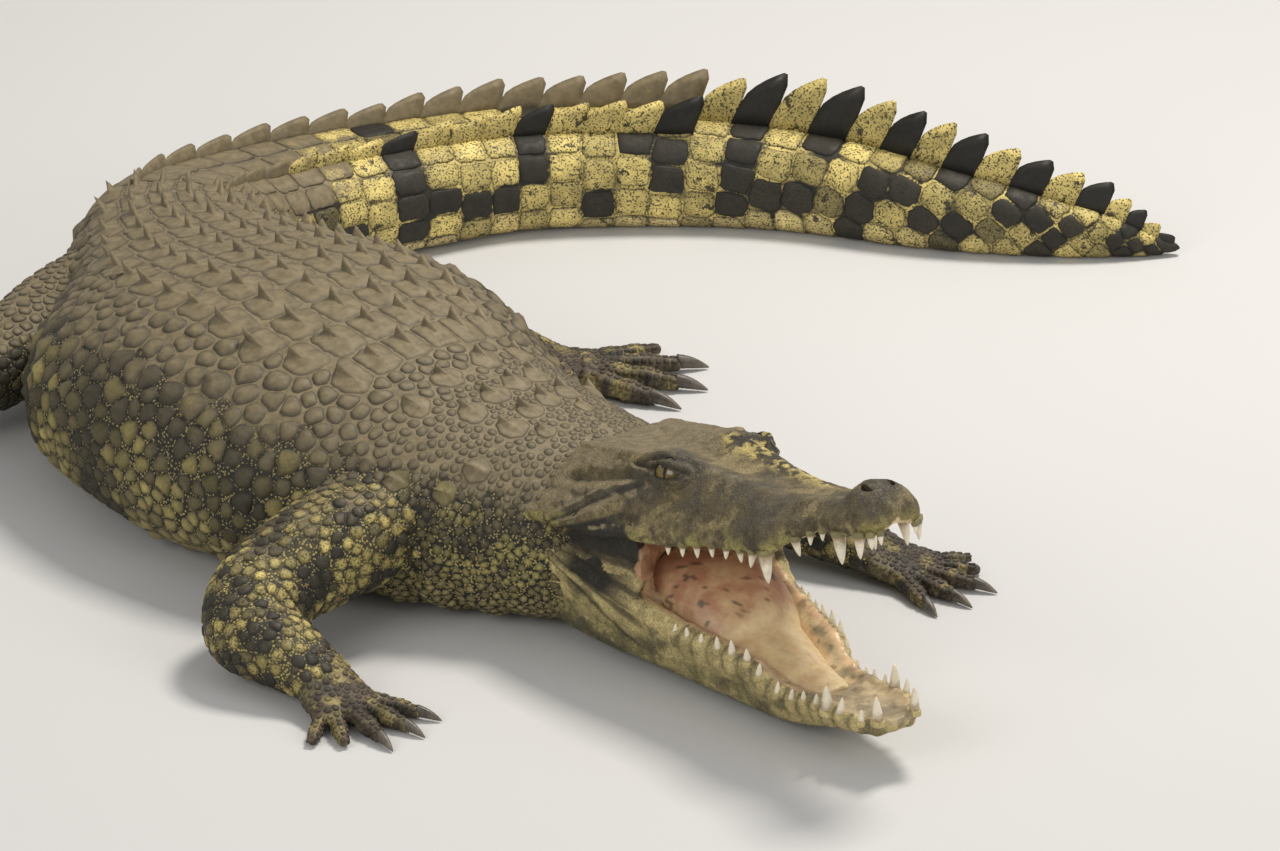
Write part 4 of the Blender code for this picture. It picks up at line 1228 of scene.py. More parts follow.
def paintPlaces(places, normals, region):
    # colours and finish for any places on the animal, by where they are
    paint = {key: np.zeros(len(places)) for key in ("mud", "mark", "wet", "crack", "grit")}
    paint["tint"] = np.zeros((len(places), 3))
    painters = (((onBody,), paintBody), ((onLimb,), paintLimb), ((onFoot,), paintFoot),
                ((onUpper, onLower, onCheek), paintHead))
    for regions, painter in painters:
        mask = np.isin(region, regions)
        if mask.any():
            for key, values in painter(places[mask], normals[mask], region[mask]).items():
                paint[key][mask] = values
    return paint


def storeValues(mesh, name, values, kind="FLOAT", field="value"):
    layer = mesh.attributes.new(name, kind, "POINT")
    layer.data.foreach_set(field, np.asarray(values, np.float32).ravel())


def storePaint(mesh, paint, depth=0):
    # paint goes on the mesh as attributes that the materials read
    count = len(mesh.vertices)
    tint = np.column_stack([np.clip(paint["tint"], 0, 1), np.ones(count)])
    storeValues(mesh, "tint", tint, "FLOAT_COLOR", "color")
    for key in ("mud", "mark", "wet", "crack", "grit"):
        storeValues(mesh, key, np.zeros(count) + paint.get(key, 0))
    # depth is painted shade: 1 in the seams under the scales and at the feet of blades, falling to
    # 0 on their tops
    storeValues(mesh, "depth", np.zeros(count) + depth)


plain, plate, tile, toe, keeled = range(5)

# the scales, in metres; a radius is from the middle of a scale to its nearest edge
scales = {
    "flank": ((0.0, 0.0095), (0.12, 0.0085), (0.35, 0.0080), (0.58, 0.0104), (0.80, 0.0114),
              (1.0, 0.0100)),                     # share of the back's height, radius
    "neck": 0.0046,
    "folds": 0.0056,
    "foldReach": 0.085,
    "limb": 0.0066,
    "foot": 0.0038,
    "backTile": 0.047,
    "tile": 0.0235,
    "beadLimit": 0.0062,                          # smaller ones are beads
    "rootPatch": 0.0015,                          # each scale's room on the layout
    "mostTriangles": 190000,                      # in one mesh
    "backRows": (0.024, 0.074, 0.124),
    "backRange": (0.26, 0.94),
    "backWide": ((0.24, 0.74), (0.36, 1.0), (0.74, 0.94), (0.88, 0.72), (0.96, 0.60)),
    "plateHigh": ((0.95, 0.027), (1.30, 0.031), (1.65, 0.037), (1.90, 0.036), (2.26, 0.014)),
    "unevenness": 0.22,
    "gap": 0.0005,
    "clear": 0.0004,                              # nothing hangs lower than this
    "lowest": 0.003,                              # no scale starts lower than this
    "keeled": 0.10,                               # share of the flank scales with a keel
    "tries": 2.4,                                 # places tried for each one that fits
    "closest": 0.84,                              # share of two radii that must lie between
    "spreads": 9,                                 # rounds of pushing apart
}


def backRing(station, lowest=-90, count=361):
    # angles down the left side, and the distance to each from the middle of the back
    angles = np.radians(np.linspace(90, lowest, count))
    ring = bodyPlaces([station], angles, body["coatDepth"])[0]
    return angles, np.append(0, np.cumsum(np.linalg.norm(np.diff(ring, axis=0), axis=1)))


def ringSeeds(station, arcs, radius, cap, kind):
    # seeds on both sides, at distances round from the middle of the back
    fine, run = backRing(station)
    angles = np.interp(arcs, run, fine)
    both = np.concatenate([angles, math.pi - angles])
    places = bodyPlaces([station], both, body["coatDepth"])[0]
    return [(*place, radius, cap, kind) for place in places]


def crestArc(station):
    # how far from the middle of the tail a crest stands
    whole = backRing(station, 67.5, 40)[1][-1]
    return whole * (1 - ramp(tail["crestsMeet"] - 0.06, tail["crestsMeet"] + 0.02, station))


def tailSeeds():
    found = []
    for start, end in zip(whorls, whorls[1:]):
        station = (start + end) / 2
        crest = float(crestArc(station))
        around = backRing(station)[1][-1] - crest
        high = readTable(scales["plateHigh"], station)
        rows = max(2, round(around / high))
        arcs = crest + (np.arange(rows) + 0.5) * around / rows
        if crest > 0.02:
            arcs = np.append(arcs, crest * 0.5)
        found += ringSeeds(station, arcs, high * 0.5, (end - start) * 0.72, plate)
    return found


def backSeeds():
    found = []
    low, high = scales["backRange"]
    for station in np.linspace(low, high, round((high - low) / scales["backTile"])):
        arcs = np.array(scales["backRows"]) * readTable(scales["backWide"], station)
        found += ringSeeds(station, arcs, scales["tile"], 0.037, tile)
    return found


# large scutes behind the head: station, distance from the middle, radius
napeScutes = ((0.100, 0.018, 0.017), (0.098, 0.055, 0.018), (0.142, 0.020, 0.019),
              (0.142, 0.058, 0.018), (0.066, 0.040, 0.012), (0.102, 0.122, 0.016),
              (0.122, 0.160, 0.014), (0.164, 0.172, 0.014), (0.195, 0.030, 0.019),
              (0.190, 0.085, 0.017))


def napeSeeds():
    found = []
    for station, arc, radius in napeScutes:
        found += ringSeeds(station, [arc], radius, radius * 1.4, tile)
    return found


def digitSeeds():
    found = []
    for name in limbNames:
        for root, way, reach, radius in footPlan(name)[2]:
            length = reach + feet["setBack"]
            across = unit(np.cross((0, 0, 1), way))
            for run in np.arange(feet["setBack"] + 0.006, length - 0.004, 0.0088):
                share = run / length
                middle = root + way * run
                middle[2] = radius * (1.5 - 0.75 * share)
                for turn in (90, 38, 142, -8, 188):
                    angle = math.radians(turn)
                    place = middle + across * math.cos(angle) * radius
                    place = place + np.array([0, 0, math.sin(angle) * radius])
                    if place[2] > 0.004:
                        found.append((*place, 0.0043, 0.0075, toe))
    return found


def cellRadius(places, region):
    station, _, height = findStations(places)
    radius = readTable(scales["flank"], heightShare(station, height))
    neck = ramp(0.27, 0.13, station)
    radius = radius * (1 - neck) + scales["neck"] * neck
    # smaller ones in the folds where a leg leaves the trunk
    for name in limbNames:
        path, _, _ = limbStations(name)
        gap = np.linalg.norm(places - path[7], axis=1)
        near = np.exp(-(gap / scales["foldReach"]) ** 2) * 0.8
        radius = radius * (1 - near) + scales["folds"] * near
    radius = np.where(region == onLimb, scales["limb"], radius)
    radius = np.where(region == onFoot, scales["foot"], radius)
    return radius * (1 + scales["unevenness"] * noiseAt(places, 42, 5.1))


def scatteredSeeds(surface, lookup, fixed):
    # random places that keep their distance, then pushed apart until they pack evenly
    corners, triangles = surface
    a, b, c = (corners[triangles[:, k]] for k in range(3))
    middle = (a + b + c) / 3
    area = np.linalg.norm(np.cross(b - a, c - a), axis=1) / 2
    region = regionsOf(middle)
    station, aside, height = findStations(middle)
    tiled = np.abs(aside) < readTable(scales["backWide"], station) * 0.138
    tiled &= (station > 0.235) & (station < 0.965) & (height > 0.1)
    trunk = (region == onBody) & (station > -0.03) & (station < 0.945) & ~tiled
    ids = np.flatnonzero((trunk | (region >= onLimb)) & (height > scales["lowest"] + 0.0005))
    radius = cellRadius(middle[ids], region[ids])
    want = np.cumsum(area[ids] / (3.46 * radius ** 2) * scales["tries"])
    picks = ids[np.searchsorted(want, rng.random(int(want[-1])) * want[-1])]
    u, v = rng.random(len(picks)), rng.random(len(picks))
    flip = u + v > 1
    u, v = np.where(flip, 1 - u, u)[:, None], np.where(flip, 1 - v, v)[:, None]
    spots = a[picks] + (b[picks] - a[picks]) * u + (c[picks] - a[picks]) * v
    size = cellRadius(spots, region[picks])
    keel = (rng.random(len(spots)) < scales["keeled"]) & (region[picks] == onBody) & (size > 0.0088)
    size = np.where(keel, size * 1.3, size)
    spots = np.vstack([fixed[:, :3], spots])
    size = np.append(fixed[:, 3], size)
    keel = np.append(np.zeros(len(fixed), bool), keel)
    nearby = treeOf(spots)
    alive = np.ones(len(spots), bool)
    held = len(fixed)
    order = np.concatenate([np.arange(held), held + np.flatnonzero(keel[held:]),
                            held + np.flatnonzero(~keel[held:])])
    for i in order:
        if alive[i]:
            reach = size[i] * 2.6
            for _, j, gap in nearby.find_range(spots[i], reach):
                if j != i and j >= held and gap < scales["closest"] * (size[i] + size[j]):
                    alive[j] = False
    spots, size, keel = spots[alive], size[alive], keel[alive]
    for _ in range(scales["spreads"]):
        near, gaps = neighbours(spots, 9)
        away = spots[:, None] - spots[near]
        overlap = np.maximum(size[:, None] + size[near] - gaps, 0)
        push = (away / np.maximum(gaps, 1e-6)[..., None] * overlap[..., None]).sum(1) * 0.3
        push[:held] = 0
        spots = spots + push
        spots[held:] = [lookup.find_nearest(p)[0] for p in spots[held:]]
    kinds = np.where(keel, keeled, plain)
    kinds[:held] = fixed[:, 5]
    caps = size * 1.42
    caps[:held] = fixed[:, 4]
    return spots, size, caps, kinds


def neighbours(spots, count):
    tree = treeOf(spots)
    near = np.zeros((len(spots), count), int)
    gaps = np.full((len(spots), count), 1.0)
    for i, place in enumerate(spots):
        found = tree.find_n(place, count + 1)[1:]
        near[i] = [j for _, j, _ in found]
        gaps[i] = [gap for _, _, gap in found]
    return near, gaps


# a scale's rings, from its edge in: share of its radius, share of its height
profiles = {
    "bead": {"rings": ((1.0, -0.15), (0.86, 0.62)), "top": 1.0, "ways": 9, "round": 6,
             "fill": 0.96, "soft": True},
    "dome": {"rings": ((1.0, -0.22), (0.92, 0.45), (0.60, 0.92)), "top": 1.0, "ways": 14,
             "round": 8, "fill": 0.955, "soft": True},
    "plate": {"rings": ((1.0, -0.40), (0.96, 0.55), (0.86, 0.92), (0.45, 1.0)), "top": 1.0,
              "ways": 20, "round": 26, "fill": 0.995, "soft": False},
    "tile": {"rings": ((1.0, -0.40), (0.94, 0.50), (0.78, 0.85), (0.56, 1.0), (0.30, 1.1)),
             "top": 1.12, "ways": 24, "round": 22, "fill": 0.99, "soft": False},
}


def scaleEdges(seeds, chosen, lie, plan, angles):
    # each chosen scale's own axes, and how far it reaches at every angle
    spots, size, caps, near, normals = seeds
    p, n = spots[chosen], normals[chosen]
    t = unit(lie[chosen] - n * (lie[chosen] * n).sum(1, keepdims=True))
    b = np.cross(n, t)
    gap = spots[near[chosen]] - p[:, None]
    x, y = (gap * t[:, None]).sum(2), (gap * b[:, None]).sum(2)
    flat = np.maximum(np.hypot(x, y), 1e-6)
    facing = (normals[near[chosen]] * n[:, None]).sum(2) > 0.1
    border = np.linalg.norm(gap, axis=2) * size[chosen][:, None]
    border = border / (size[chosen][:, None] + size[near[chosen]])
    border = np.where(facing, np.maximum(border, 0.001), 9.0)
    cosine = (x / flat)[..., None] * np.cos(angles) + (y / flat)[..., None] * np.sin(angles)
    total = ((np.maximum(cosine, 0) / border[..., None]) ** plan["round"]).sum(1)
    reach = (total + 1e-9) ** (-1 / plan["round"])
    reach = np.minimum(reach, caps[chosen][:, None]) * plan["fill"] - scales["gap"]
    reach = np.maximum(reach, 0.0008)
    return p, n, t, b, reach * (1 + 0.035 * rng.standard_normal(reach.shape))


def scaleFaces(ways, rings):
    # triangles between the rings of one scale, and a fan on its top
    ring = np.arange(ways)
    after = (ring + 1) % ways
    faces = []
    for low in range(0, (rings - 1) * ways, ways):
        high = low + ways
        faces.append(np.column_stack([low + ring, low + after, high + after]))
        faces.append(np.column_stack([low + ring, high + after, high + ring]))
    low = (rings - 1) * ways
    faces.append(np.column_stack([low + ring, low + after, np.full(ways, low + ways)]))
    return np.vstack(faces)


def layScales(seeds, chosen, style, heights, keels, lie, lookup):
    # one mesh of all the chosen scales, each cut to fit between its neighbours
    plan = profiles[style]
    ways, count = plan["ways"], len(chosen)
    angles = 2 * math.pi * (np.arange(ways) + 0.5) / ways
    p, n, t, b, reach = scaleEdges(seeds, chosen, lie, plan, angles)
    big = reach.mean(1)[:, None]
    layers, rooms, edgeShades = [], [], []
    for share, high in plan["rings"]:
        along = np.cos(angles) * reach * share
        aside = np.sin(angles) * reach * share
        flat = p[:, None] + t[:, None] * along[..., None] + b[:, None] * aside[..., None]
        found = [lookup.find_nearest(q)[:2] for q in flat.reshape(-1, 3)]
        onSkin, faceWay = (np.array(part) for part in zip(*found))
        out = unit(np.repeat(n, ways, 0) * 0.65 + faceWay * 0.35)
        keel = np.exp(-(aside / (big * 0.22)) ** 2) * ramp(-1.0, 0.2, along / big)
        keel = keel * (1 - ramp(0.7, 1.0, along / big)) * (1 - share ** 6)
        lift = heights[:, None] * (high + 0.28 * along / big * (high > 0))
        lift = lift + keels[:, None] * keel * (high > 0)
        layers.append((onSkin + out * lift.reshape(-1, 1)).reshape(count, ways, 3))
        room = np.column_stack([np.cos(angles) * share, np.sin(angles) * share])
        rooms.append(np.tile(room, (count, 1, 1)))
        # painted shade, darkest in the seam round each scale and fading up its sides to none on top
        shade = max(0, share - 0.4) * 1.25 if plan["soft"] else share ** 12
        edgeShades.append(np.full((count, ways), 1.0 if high < 0 else shade))
    top = p + n * (heights * plan["top"] + keels * 0.86)[:, None]
    places = np.concatenate(layers + [top[:, None]], 1)
    places[..., 2] = np.maximum(places[..., 2], scales["clear"])
    rooms = np.concatenate(rooms + [np.zeros((count, 1, 2))], 1)
    edgeShades = np.concatenate(edgeShades + [np.zeros((count, 1))], 1)
    starts = np.arange(count) * places.shape[1]
    faces = scaleFaces(ways, len(plan["rings"])) + starts[:, None, None]
    return places, faces, rooms, edgeShades


def meshOf(name, places, faces):
    mesh = bpy.data.meshes.new(name)
    mesh.vertices.add(len(places))
    mesh.vertices.foreach_set("co", np.asarray(places, np.float32).ravel())
    mesh.loops.add(faces.size)
    mesh.loops.foreach_set("vertex_index", np.asarray(faces, np.int32).ravel())
    mesh.polygons.add(len(faces))
    mesh.polygons.foreach_set("loop_start", np.arange(0, faces.size, 3, dtype=np.int32))
    mesh.polygons.foreach_set("loop_total", np.full(len(faces), 3, np.int32))
    mesh.polygons.foreach_set("use_smooth", np.ones(len(faces), bool))
    mesh.update(calc_edges=True)
    mesh.validate()
    return mesh


def layoutSpots(places, sample):
    # where places lie on the flat layout of the skin
    gap = places - guide["at"][sample]
    along = (gap * guide["along"][sample]).sum(1)
    around = (gap * guide["around"][sample]).sum(1)
    return guide["spot"][sample] + np.column_stack([along, around]) / layoutSize


def addRootMap(mesh, spots):
    # spots keep every scale to a small patch at its root's place on the skin's layout
    layer = mesh.uv_layers.new(name="OFBake")
    corners = gathered(mesh.loops, "vertex_index", 1, np.int32)[:, 0]
    layer.data.foreach_set("uv", np.asarray(spots[corners], np.float32).ravel())


def scaleHeights(kinds, size):
    # how high each scale and its keel stand
    heights, keels = np.clip(size * 0.26, 0.0011, 0.003), np.zeros(len(size))
    keels[(kinds == plain) & (size > 0.0095)] = 0.0009
    for kind, height in ((plate, 0.0022), (tile, 0.0017), (toe, 0.0016)):
        heights[kinds == kind] = height
    for kind, keel in ((keeled, 0.0045), (tile, 0.004)):
        keels[kinds == kind] = keel
    return heights, keels


def makeScales(skin):
    surface = placesOf(skin.data), trianglesOf(skin.data)
    lookup = BVHTree.FromPolygons(*(part.tolist() for part in surface))
    fixed = np.array(tailSeeds() + backSeeds() + napeSeeds() + digitSeeds())
    fixed[:, :3] = [lookup.find_nearest(p)[0] for p in fixed[:, :3]]
    fixed = fixed[fixed[:, 2] > scales["lowest"]]
    spots, size, caps, kinds = scatteredSeeds(surface, lookup, fixed)
    normals = np.array([lookup.find_nearest(p)[1] for p in spots])
    sample = guideNear(spots)
    region = guide["region"][sample]
    near, _ = neighbours(spots, 16)
    # each scale's normal leans towards those of the nearest scales that face the same way
    around = normals[near[:, :6]]
    facing = (around * normals[:, None]).sum(2, keepdims=True) > 0.2
    normals = unit(normals * 1.5 + (around * facing).sum(1))
    lie = guide["along"][sample]
    seeds = (spots, size, caps, near, normals)
    heights, keels = scaleHeights(kinds, size)
    paint = paintPlaces(spots, normals, region)
    roots = layoutSpots(spots, sample)
    shade = 1 + 0.16 * rng.standard_normal(len(spots))
    paint["tint"] = paint["tint"] * np.clip(shade, 0.6, 1.5)[:, None]
    paint["grit"] = paint["grit"] * 0
    trunk = region == onBody
    onTail = trunk & (kinds == plate)
    small = trunk & ~onTail & (kinds != tile)
    groups = (("tail_plates", "plate", onTail), ("back_tiles", "tile", kinds == tile),
              ("flank_scales", "dome", small & (size > scales["beadLimit"])),
              ("bead_scales", "bead", small & (size <= scales["beadLimit"])),
              ("limb_scales", "dome", region == onLimb), ("foot_scales", "bead", region == onFoot))
    made = []
    for name, style, mask in groups:
        chosen = np.flatnonzero(mask)
        places, faces, rooms, edgeShades = layScales(seeds, chosen, style, heights[chosen],
                                                 keels[chosen], lie, lookup)
        each = places.shape[1]
        limit = scales["mostTriangles"] // faces.shape[1]
        for part, start in enumerate(range(0, len(chosen), limit)):
            mine = slice(start, start + limit)
            title = name if len(chosen) <= limit else name + "_" + str(part + 1)
            offset = faces[mine] - start * each
            mesh = meshOf(title, places[mine].reshape(-1, 3), offset.reshape(-1, 3))
            own = {key: np.repeat(value[chosen[mine]], each, 0)
                   for key, value in paint.items()}
            # each scale carries its painted shade, dark at its rim and in its seam
            storePaint(mesh, own, edgeShades[mine].ravel())
            patch = roots[chosen[mine]][:, None] + rooms[mine] * scales["rootPatch"]
            addRootMap(mesh, patch.reshape(-1, 2))
            made.append(newPiece(title, mesh))
            print("  ", title, len(chosen[mine]), "scales", len(mesh.polygons), "triangles")
    return made, lookup, (spots, size, normals, kinds, lie)


blades = {
    "stations": (0.0, 0.10, 0.22, 0.38, 0.55, 0.70, 0.80, 0.92, 1.0),
    "outline": ((-1.0, 0.0), (-0.80, 0.32), (-0.42, 0.74), (0.0, 1.0), (0.42, 0.74),
                (0.80, 0.32), (1.0, 0.0)),
    "sink": 0.0035,
    "crestLean": 0.44,
    "backLength": 0.036,
    "backHeight": 0.0155,
    "backThickness": 0.0056,
}


def blade(front, back, up, height, thickness, lean, peak, steep, rear=0.6):
    # a closed keel that rises from front to its peak and drops behind it
    shares = np.array(blades["stations"])
    rise = np.where(shares < peak, (shares / peak) ** steep,
                    np.maximum((1 - shares) / (1 - peak), 0) ** rear)
    way = unit(back - front)
    across = unit(np.cross(up, way))
    outline = np.array(blades["outline"])
    rings = []
    for share, high in zip(shares, rise):
        base = front + (back - front) * share - up * blades["sink"]
        wide = thickness * (0.22 + 0.78 * math.sin(math.pi * min(share * 0.9 + 0.05, 1)) ** 0.6)
        tall = height * high + blades["sink"]
        ring = base + across * (outline[:, :1] * wide) + up * (outline[:, 1:] * tall)
        ring = ring + way * (lean * height * high * outline[:, 1:] ** 1.3)
        rings.append(ring)
    return np.array(rings)


def makeBlades(name, rows, edges):
    # one mesh of blades, from rows of grid, colour, mud and root on the layout
    grids, tints, muds, roots = zip(*rows)
    mesh = joinedLofts(grids)
    each = len(mesh.vertices) // len(grids)
    outline, rings = np.array(blades["outline"]), len(blades["stations"])
    paint = {"tint": np.repeat(np.array(tints), each, 0), "mud": np.repeat(muds, each), "mark": 1}
    tall = np.append(np.tile(outline[:, 1], rings), [0, 0])
    # painted shade darkens each blade towards its foot on the skin, by the share in edges
    storePaint(mesh, paint, np.tile((1 - tall) * edges, len(grids)))
    room = np.append(np.tile(outline * scales["rootPatch"], (rings, 1)), [[0, 0], [0, 0]], 0)
    spots = np.repeat(np.array(roots), each, 0) + np.tile(room, (len(grids), 1))
    addRootMap(mesh, spots)
    print("  ", name, len(grids), "blades")
    return newPiece(name, mesh)


def makeCrest():
    rows = []
    for k, (start, end) in enumerate(zip(whorls, whorls[1:])):
        double = start < tail["crestsMeet"]
        for angle in ((67.5, 112.5) if double else (90,)):
            stations = [start - (end - start) * 0.1, end]
            front, back = bodyPlaces(stations, [math.radians(angle)], body["coatDepth"])[:, 0]
            _, _, left = spineAt((start + end) / 2)
            height = float(crestSize(end)[0]) * rng.uniform(0.93, 1.07)
            if height < 0.003:
                continue
            tilt = 0.16 * np.sign(90 - angle)
            up = unit(np.append(left * tilt, 1.0))
            tint = hide["black"] if inBand(k) else hide["bright"]
            tint = hide["olive"] if start < 1.12 else tint
            thick = (0.0052 if double else 0.0046) + height * 0.03
            grid = blade(front, back + (back - front) * 0.04, up, height, thick,
                         blades["crestLean"], 0.76, 0.3, 0.26)
            mud = max(0.75 * (angle > 90), 0.9 * float(ramp(1.22, 1.02, start)))
            root = layoutSpots((front + back)[None] / 2, guideNear([front]))[0]
            rows.append((grid, np.array(tint) * rng.uniform(0.85, 1.1), mud, root))
    return makeBlades("tail_crest", rows, 0.25)


def makeKeels(seeds, lookup):
    # a pointed blade on each of the back's tiles
    spots, size, normals, kinds, lie = seeds
    rows = []
    sample = guideNear(spots)
    region = guide["region"][sample]
    chosen = np.flatnonzero(kinds == tile)
    paint = paintPlaces(spots[chosen], normals[chosen], region[chosen])
    for row, i in enumerate(chosen):
        place, normal = spots[i], normals[i]
        way = unit(lie[i] - normal * (lie[i] @ normal))
        reach = min(size[i], scales["tile"])
        share = reach / scales["tile"]
        middle = place + way * reach * 0.36
        ends = [middle - way * blades["backLength"] * share * 0.62,
                middle + way * blades["backLength"] * share * 0.42]
        front, back = (np.array(lookup.find_nearest(q)[0]) for q in ends)
        station = findStations(place[None])[0][0]
        high = blades["backHeight"] * rng.uniform(0.8, 1.15)
        high = high * np.interp(station, (0.0, 0.2, 0.4), (0.55, 0.7, 1.0)) * min(1, reach / 0.017)
        up = unit(normal + rng.normal(0, 0.06, 3))
        grid = blade(front + normal * 0.0015, back + normal * 0.002, up, high,
                     blades["backThickness"] * share, 0.55, 0.8, 0.95)
        mud = min(1.0, paint["mud"][row] * rng.uniform(0.5, 1.0))
        root = layoutSpots(place[None], sample[i:i + 1])[0]
        # each keel is painted a little darker than its tile, as painted shade
        rows.append((grid, paint["tint"][row] * 0.9, mud, root))
    return makeBlades("back_keels", rows, 0.35)


def newMaterial(name):
    # a material, its shader, and short ways to add and join its nodes
    material = bpy.data.materials.new(name)
    material.use_nodes = True
    nodes, links = material.node_tree.nodes, material.node_tree.links
    shader = nodes["Principled BSDF"]

    def feed(socket, value):
        if isinstance(value, bpy.types.NodeSocket):
            links.new(value, socket)
        else:
            socket.default_value = (*value, 1) if socket.type == "RGBA" else value

    def put(kind, inputs, **settings):
        node = nodes.new("ShaderNode" + kind)
        for key, value in settings.items():
            setattr(node, key, value)
        for key, value in inputs.items():
            feed(node.inputs[key], value)
        return node

    def read(name, output="Fac"):
        return put("Attribute", {}, attribute_name=name, attribute_type="GEOMETRY").outputs[output]

    def grain(scale, detail, rough, place):
        return put("TexNoise", {"Scale": scale, "Detail": detail, "Roughness": rough,
                                "Vector": place}).outputs["Fac"]

    def span(value, low, high, start=0.0, end=1.0):
        return put("MapRange", {"Value": value, "From Min": low, "From Max": high,
                                "To Min": start, "To Max": end}).outputs["Result"]

    def times(a, b):
        return put("Math", {0: a, 1: b}, operation="MULTIPLY").outputs[0]

    def plus(a, b):
        return put("Math", {0: a, 1: b}, operation="ADD").outputs[0]

    def blend(share, a, b, kind="MIX"):
        return put("Mix", {0: share, 6: a, 7: b}, data_type="RGBA", blend_type=kind).outputs[2]

    def join(source, name):
        links.new(source, shader.inputs[name])

    def relief(height, strength, distance):
        bumps = put("Bump", {"Height": height, "Strength": strength, "Distance": distance})
        join(bumps.outputs["Normal"], "Normal")

    return material, shader, (put, read, grain, span, times, plus, blend, join, relief)


finish = {
    "hideRough": (0.50, 0.74),
    "wetGloss": 0.30,
    "stippleScale": 430.0,
    "mudScale": 34.0,
    "crackScale": 175.0,
    "pebble": 0.9,           # how far the head's small cells bulge
    "gritScale": 300.0,
    "flakeScale": 62.0,
    # how dark the painted shade in the seams and at the feet of blades gets
    "seamShade": 0.93,
    "bumpDepth": 0.0009,
}


def hideMaterial():
    material, shader, kit = newMaterial("crocodile_hide")
    put, read, grain, span, times, plus, blend, join, relief = kit
    place = put("TexCoord", {}).outputs["Object"]
    mud, mark, wet, crack, depth, grit = (
        read(key) for key in ("mud", "mark", "wet", "crack", "depth", "grit"))

    def darken(colour, share, strength):
        return blend(times(share, strength), colour, hide["black"])

    # soft variation, then dark flecks and flakes where the skin is stippled
    vary = span(grain(55.0, 5.0, 0.6, place), 0.3, 0.7, 0.7, 1.28)
    grey = put("CombineColor", {0: vary, 1: vary, 2: vary}).outputs[0]
    colour = blend(1.0, read("tint", "Color"), grey, "MULTIPLY")
    fleck = span(grain(finish["stippleScale"], 2.0, 0.5, place), 0.53, 0.6)
    colour = darken(colour, times(fleck, mark), 0.86)
    flake = span(grain(finish["flakeScale"], 6.0, 0.72, place), 0.585, 0.61)
    colour = darken(colour, times(flake, mark), 0.9)
    # tiny granules in the skin between the scales
    beads = put("TexVoronoi", {"Vector": place, "Scale": finish["gritScale"]}
                ).outputs["Distance"]
    bead = times(span(beads, 0.42, 0.16), grit)
    colour = blend(times(bead, 0.75), colour, hide["grain"])
    colour = darken(colour, span(beads, 0.3, 0.52), grit)
    # dried mud in patches
    patch = grain(finish["mudScale"], 7.0, 0.66, place)
    cover = span(plus(patch, times(mud, 0.75)), 0.72, 0.92)
    muddy = blend(span(grain(90.0, 5.0, 0.6, place), 0.35, 0.65), hide["oldMud"], hide["mud"])
    colour = blend(cover, colour, muddy)
    # fine cracks on the head, then painted shade in the seams between the scales and at the feet of
    # blades
    drift = put("TexNoise", {"Vector": place, "Scale": 60.0}).outputs["Color"]
    bent = put("MixRGB", {0: 0.03, 1: place, 2: drift}).outputs[0]
    cells = put("TexVoronoi", {"Vector": bent, "Scale": finish["crackScale"]},
                feature="DISTANCE_TO_EDGE").outputs["Distance"]
    line = times(span(cells, 0.0, 0.07, 1.0, 0.0), crack)
    pebble = times(span(cells, 0.0, 0.3), crack)
    colour = darken(darken(colour, line, 0.34), depth, finish["seamShade"])
    join(colour, "Base Color")
    rough = span(grain(140.0, 4.0, 0.6, place), 0.3, 0.7, *finish["hideRough"])
    join(plus(rough, times(wet, -finish["wetGloss"])), "Roughness")
    shader.inputs["Specular IOR Level"].default_value = 0.35
    height = times(grain(260.0, 4.0, 0.6, place), 0.6)
    for part, share in ((grain(1100.0, 2.0, 0.5, place), 0.22), (cover, 0.5), (line, -0.9),
                        (bead, 1.2), (pebble, finish["pebble"])):
        height = plus(height, times(part, share))
    relief(height, 0.55, finish["bumpDepth"])
    return material


looks = {
    # pale and dark colour, size of the grain, roughness, bumps' size and depth
    "ivory": ((0.80, 0.72, 0.55), (0.34, 0.24, 0.13), 140.0, 0.34, 300.0, 0.0004),
    "tongue_flesh": ((0.68, 0.53, 0.29), (0.38, 0.19, 0.105), 45.0, 0.42, 260.0, 0.0010),
    "claw_horn": ((0.20, 0.165, 0.125), (0.030, 0.025, 0.020), 120.0, 0.42, 420.0, 0.0005),
}


def plainMaterial(name, speckled=False):
    # a two-tone material with grain, for teeth, claws and tongue
    pale, dark, scale, rough, bumpScale, bumpDepth = looks[name]
    material, _, kit = newMaterial(name)
    put, read, grain, span, _, plus, blend, join, relief = kit
    place = put("TexCoord", {}).outputs["Object"]
    mix = span(grain(scale, 5.0, 0.6, place), 0.3, 0.7, -0.35, 0.35)
    colour = blend(plus(mix, read("share")), dark, pale)
    if speckled:
        colour = blend(read("fold"), colour, hide["darkSkinAndShade"])
    join(colour, "Base Color")
    join(span(grain(scale * 2, 3.0, 0.5, place), 0.3, 0.7, rough - 0.08, rough + 0.1),
         "Roughness")
    relief(grain(bumpScale, 4.0, 0.6, place), 0.5, bumpDepth)
    return material


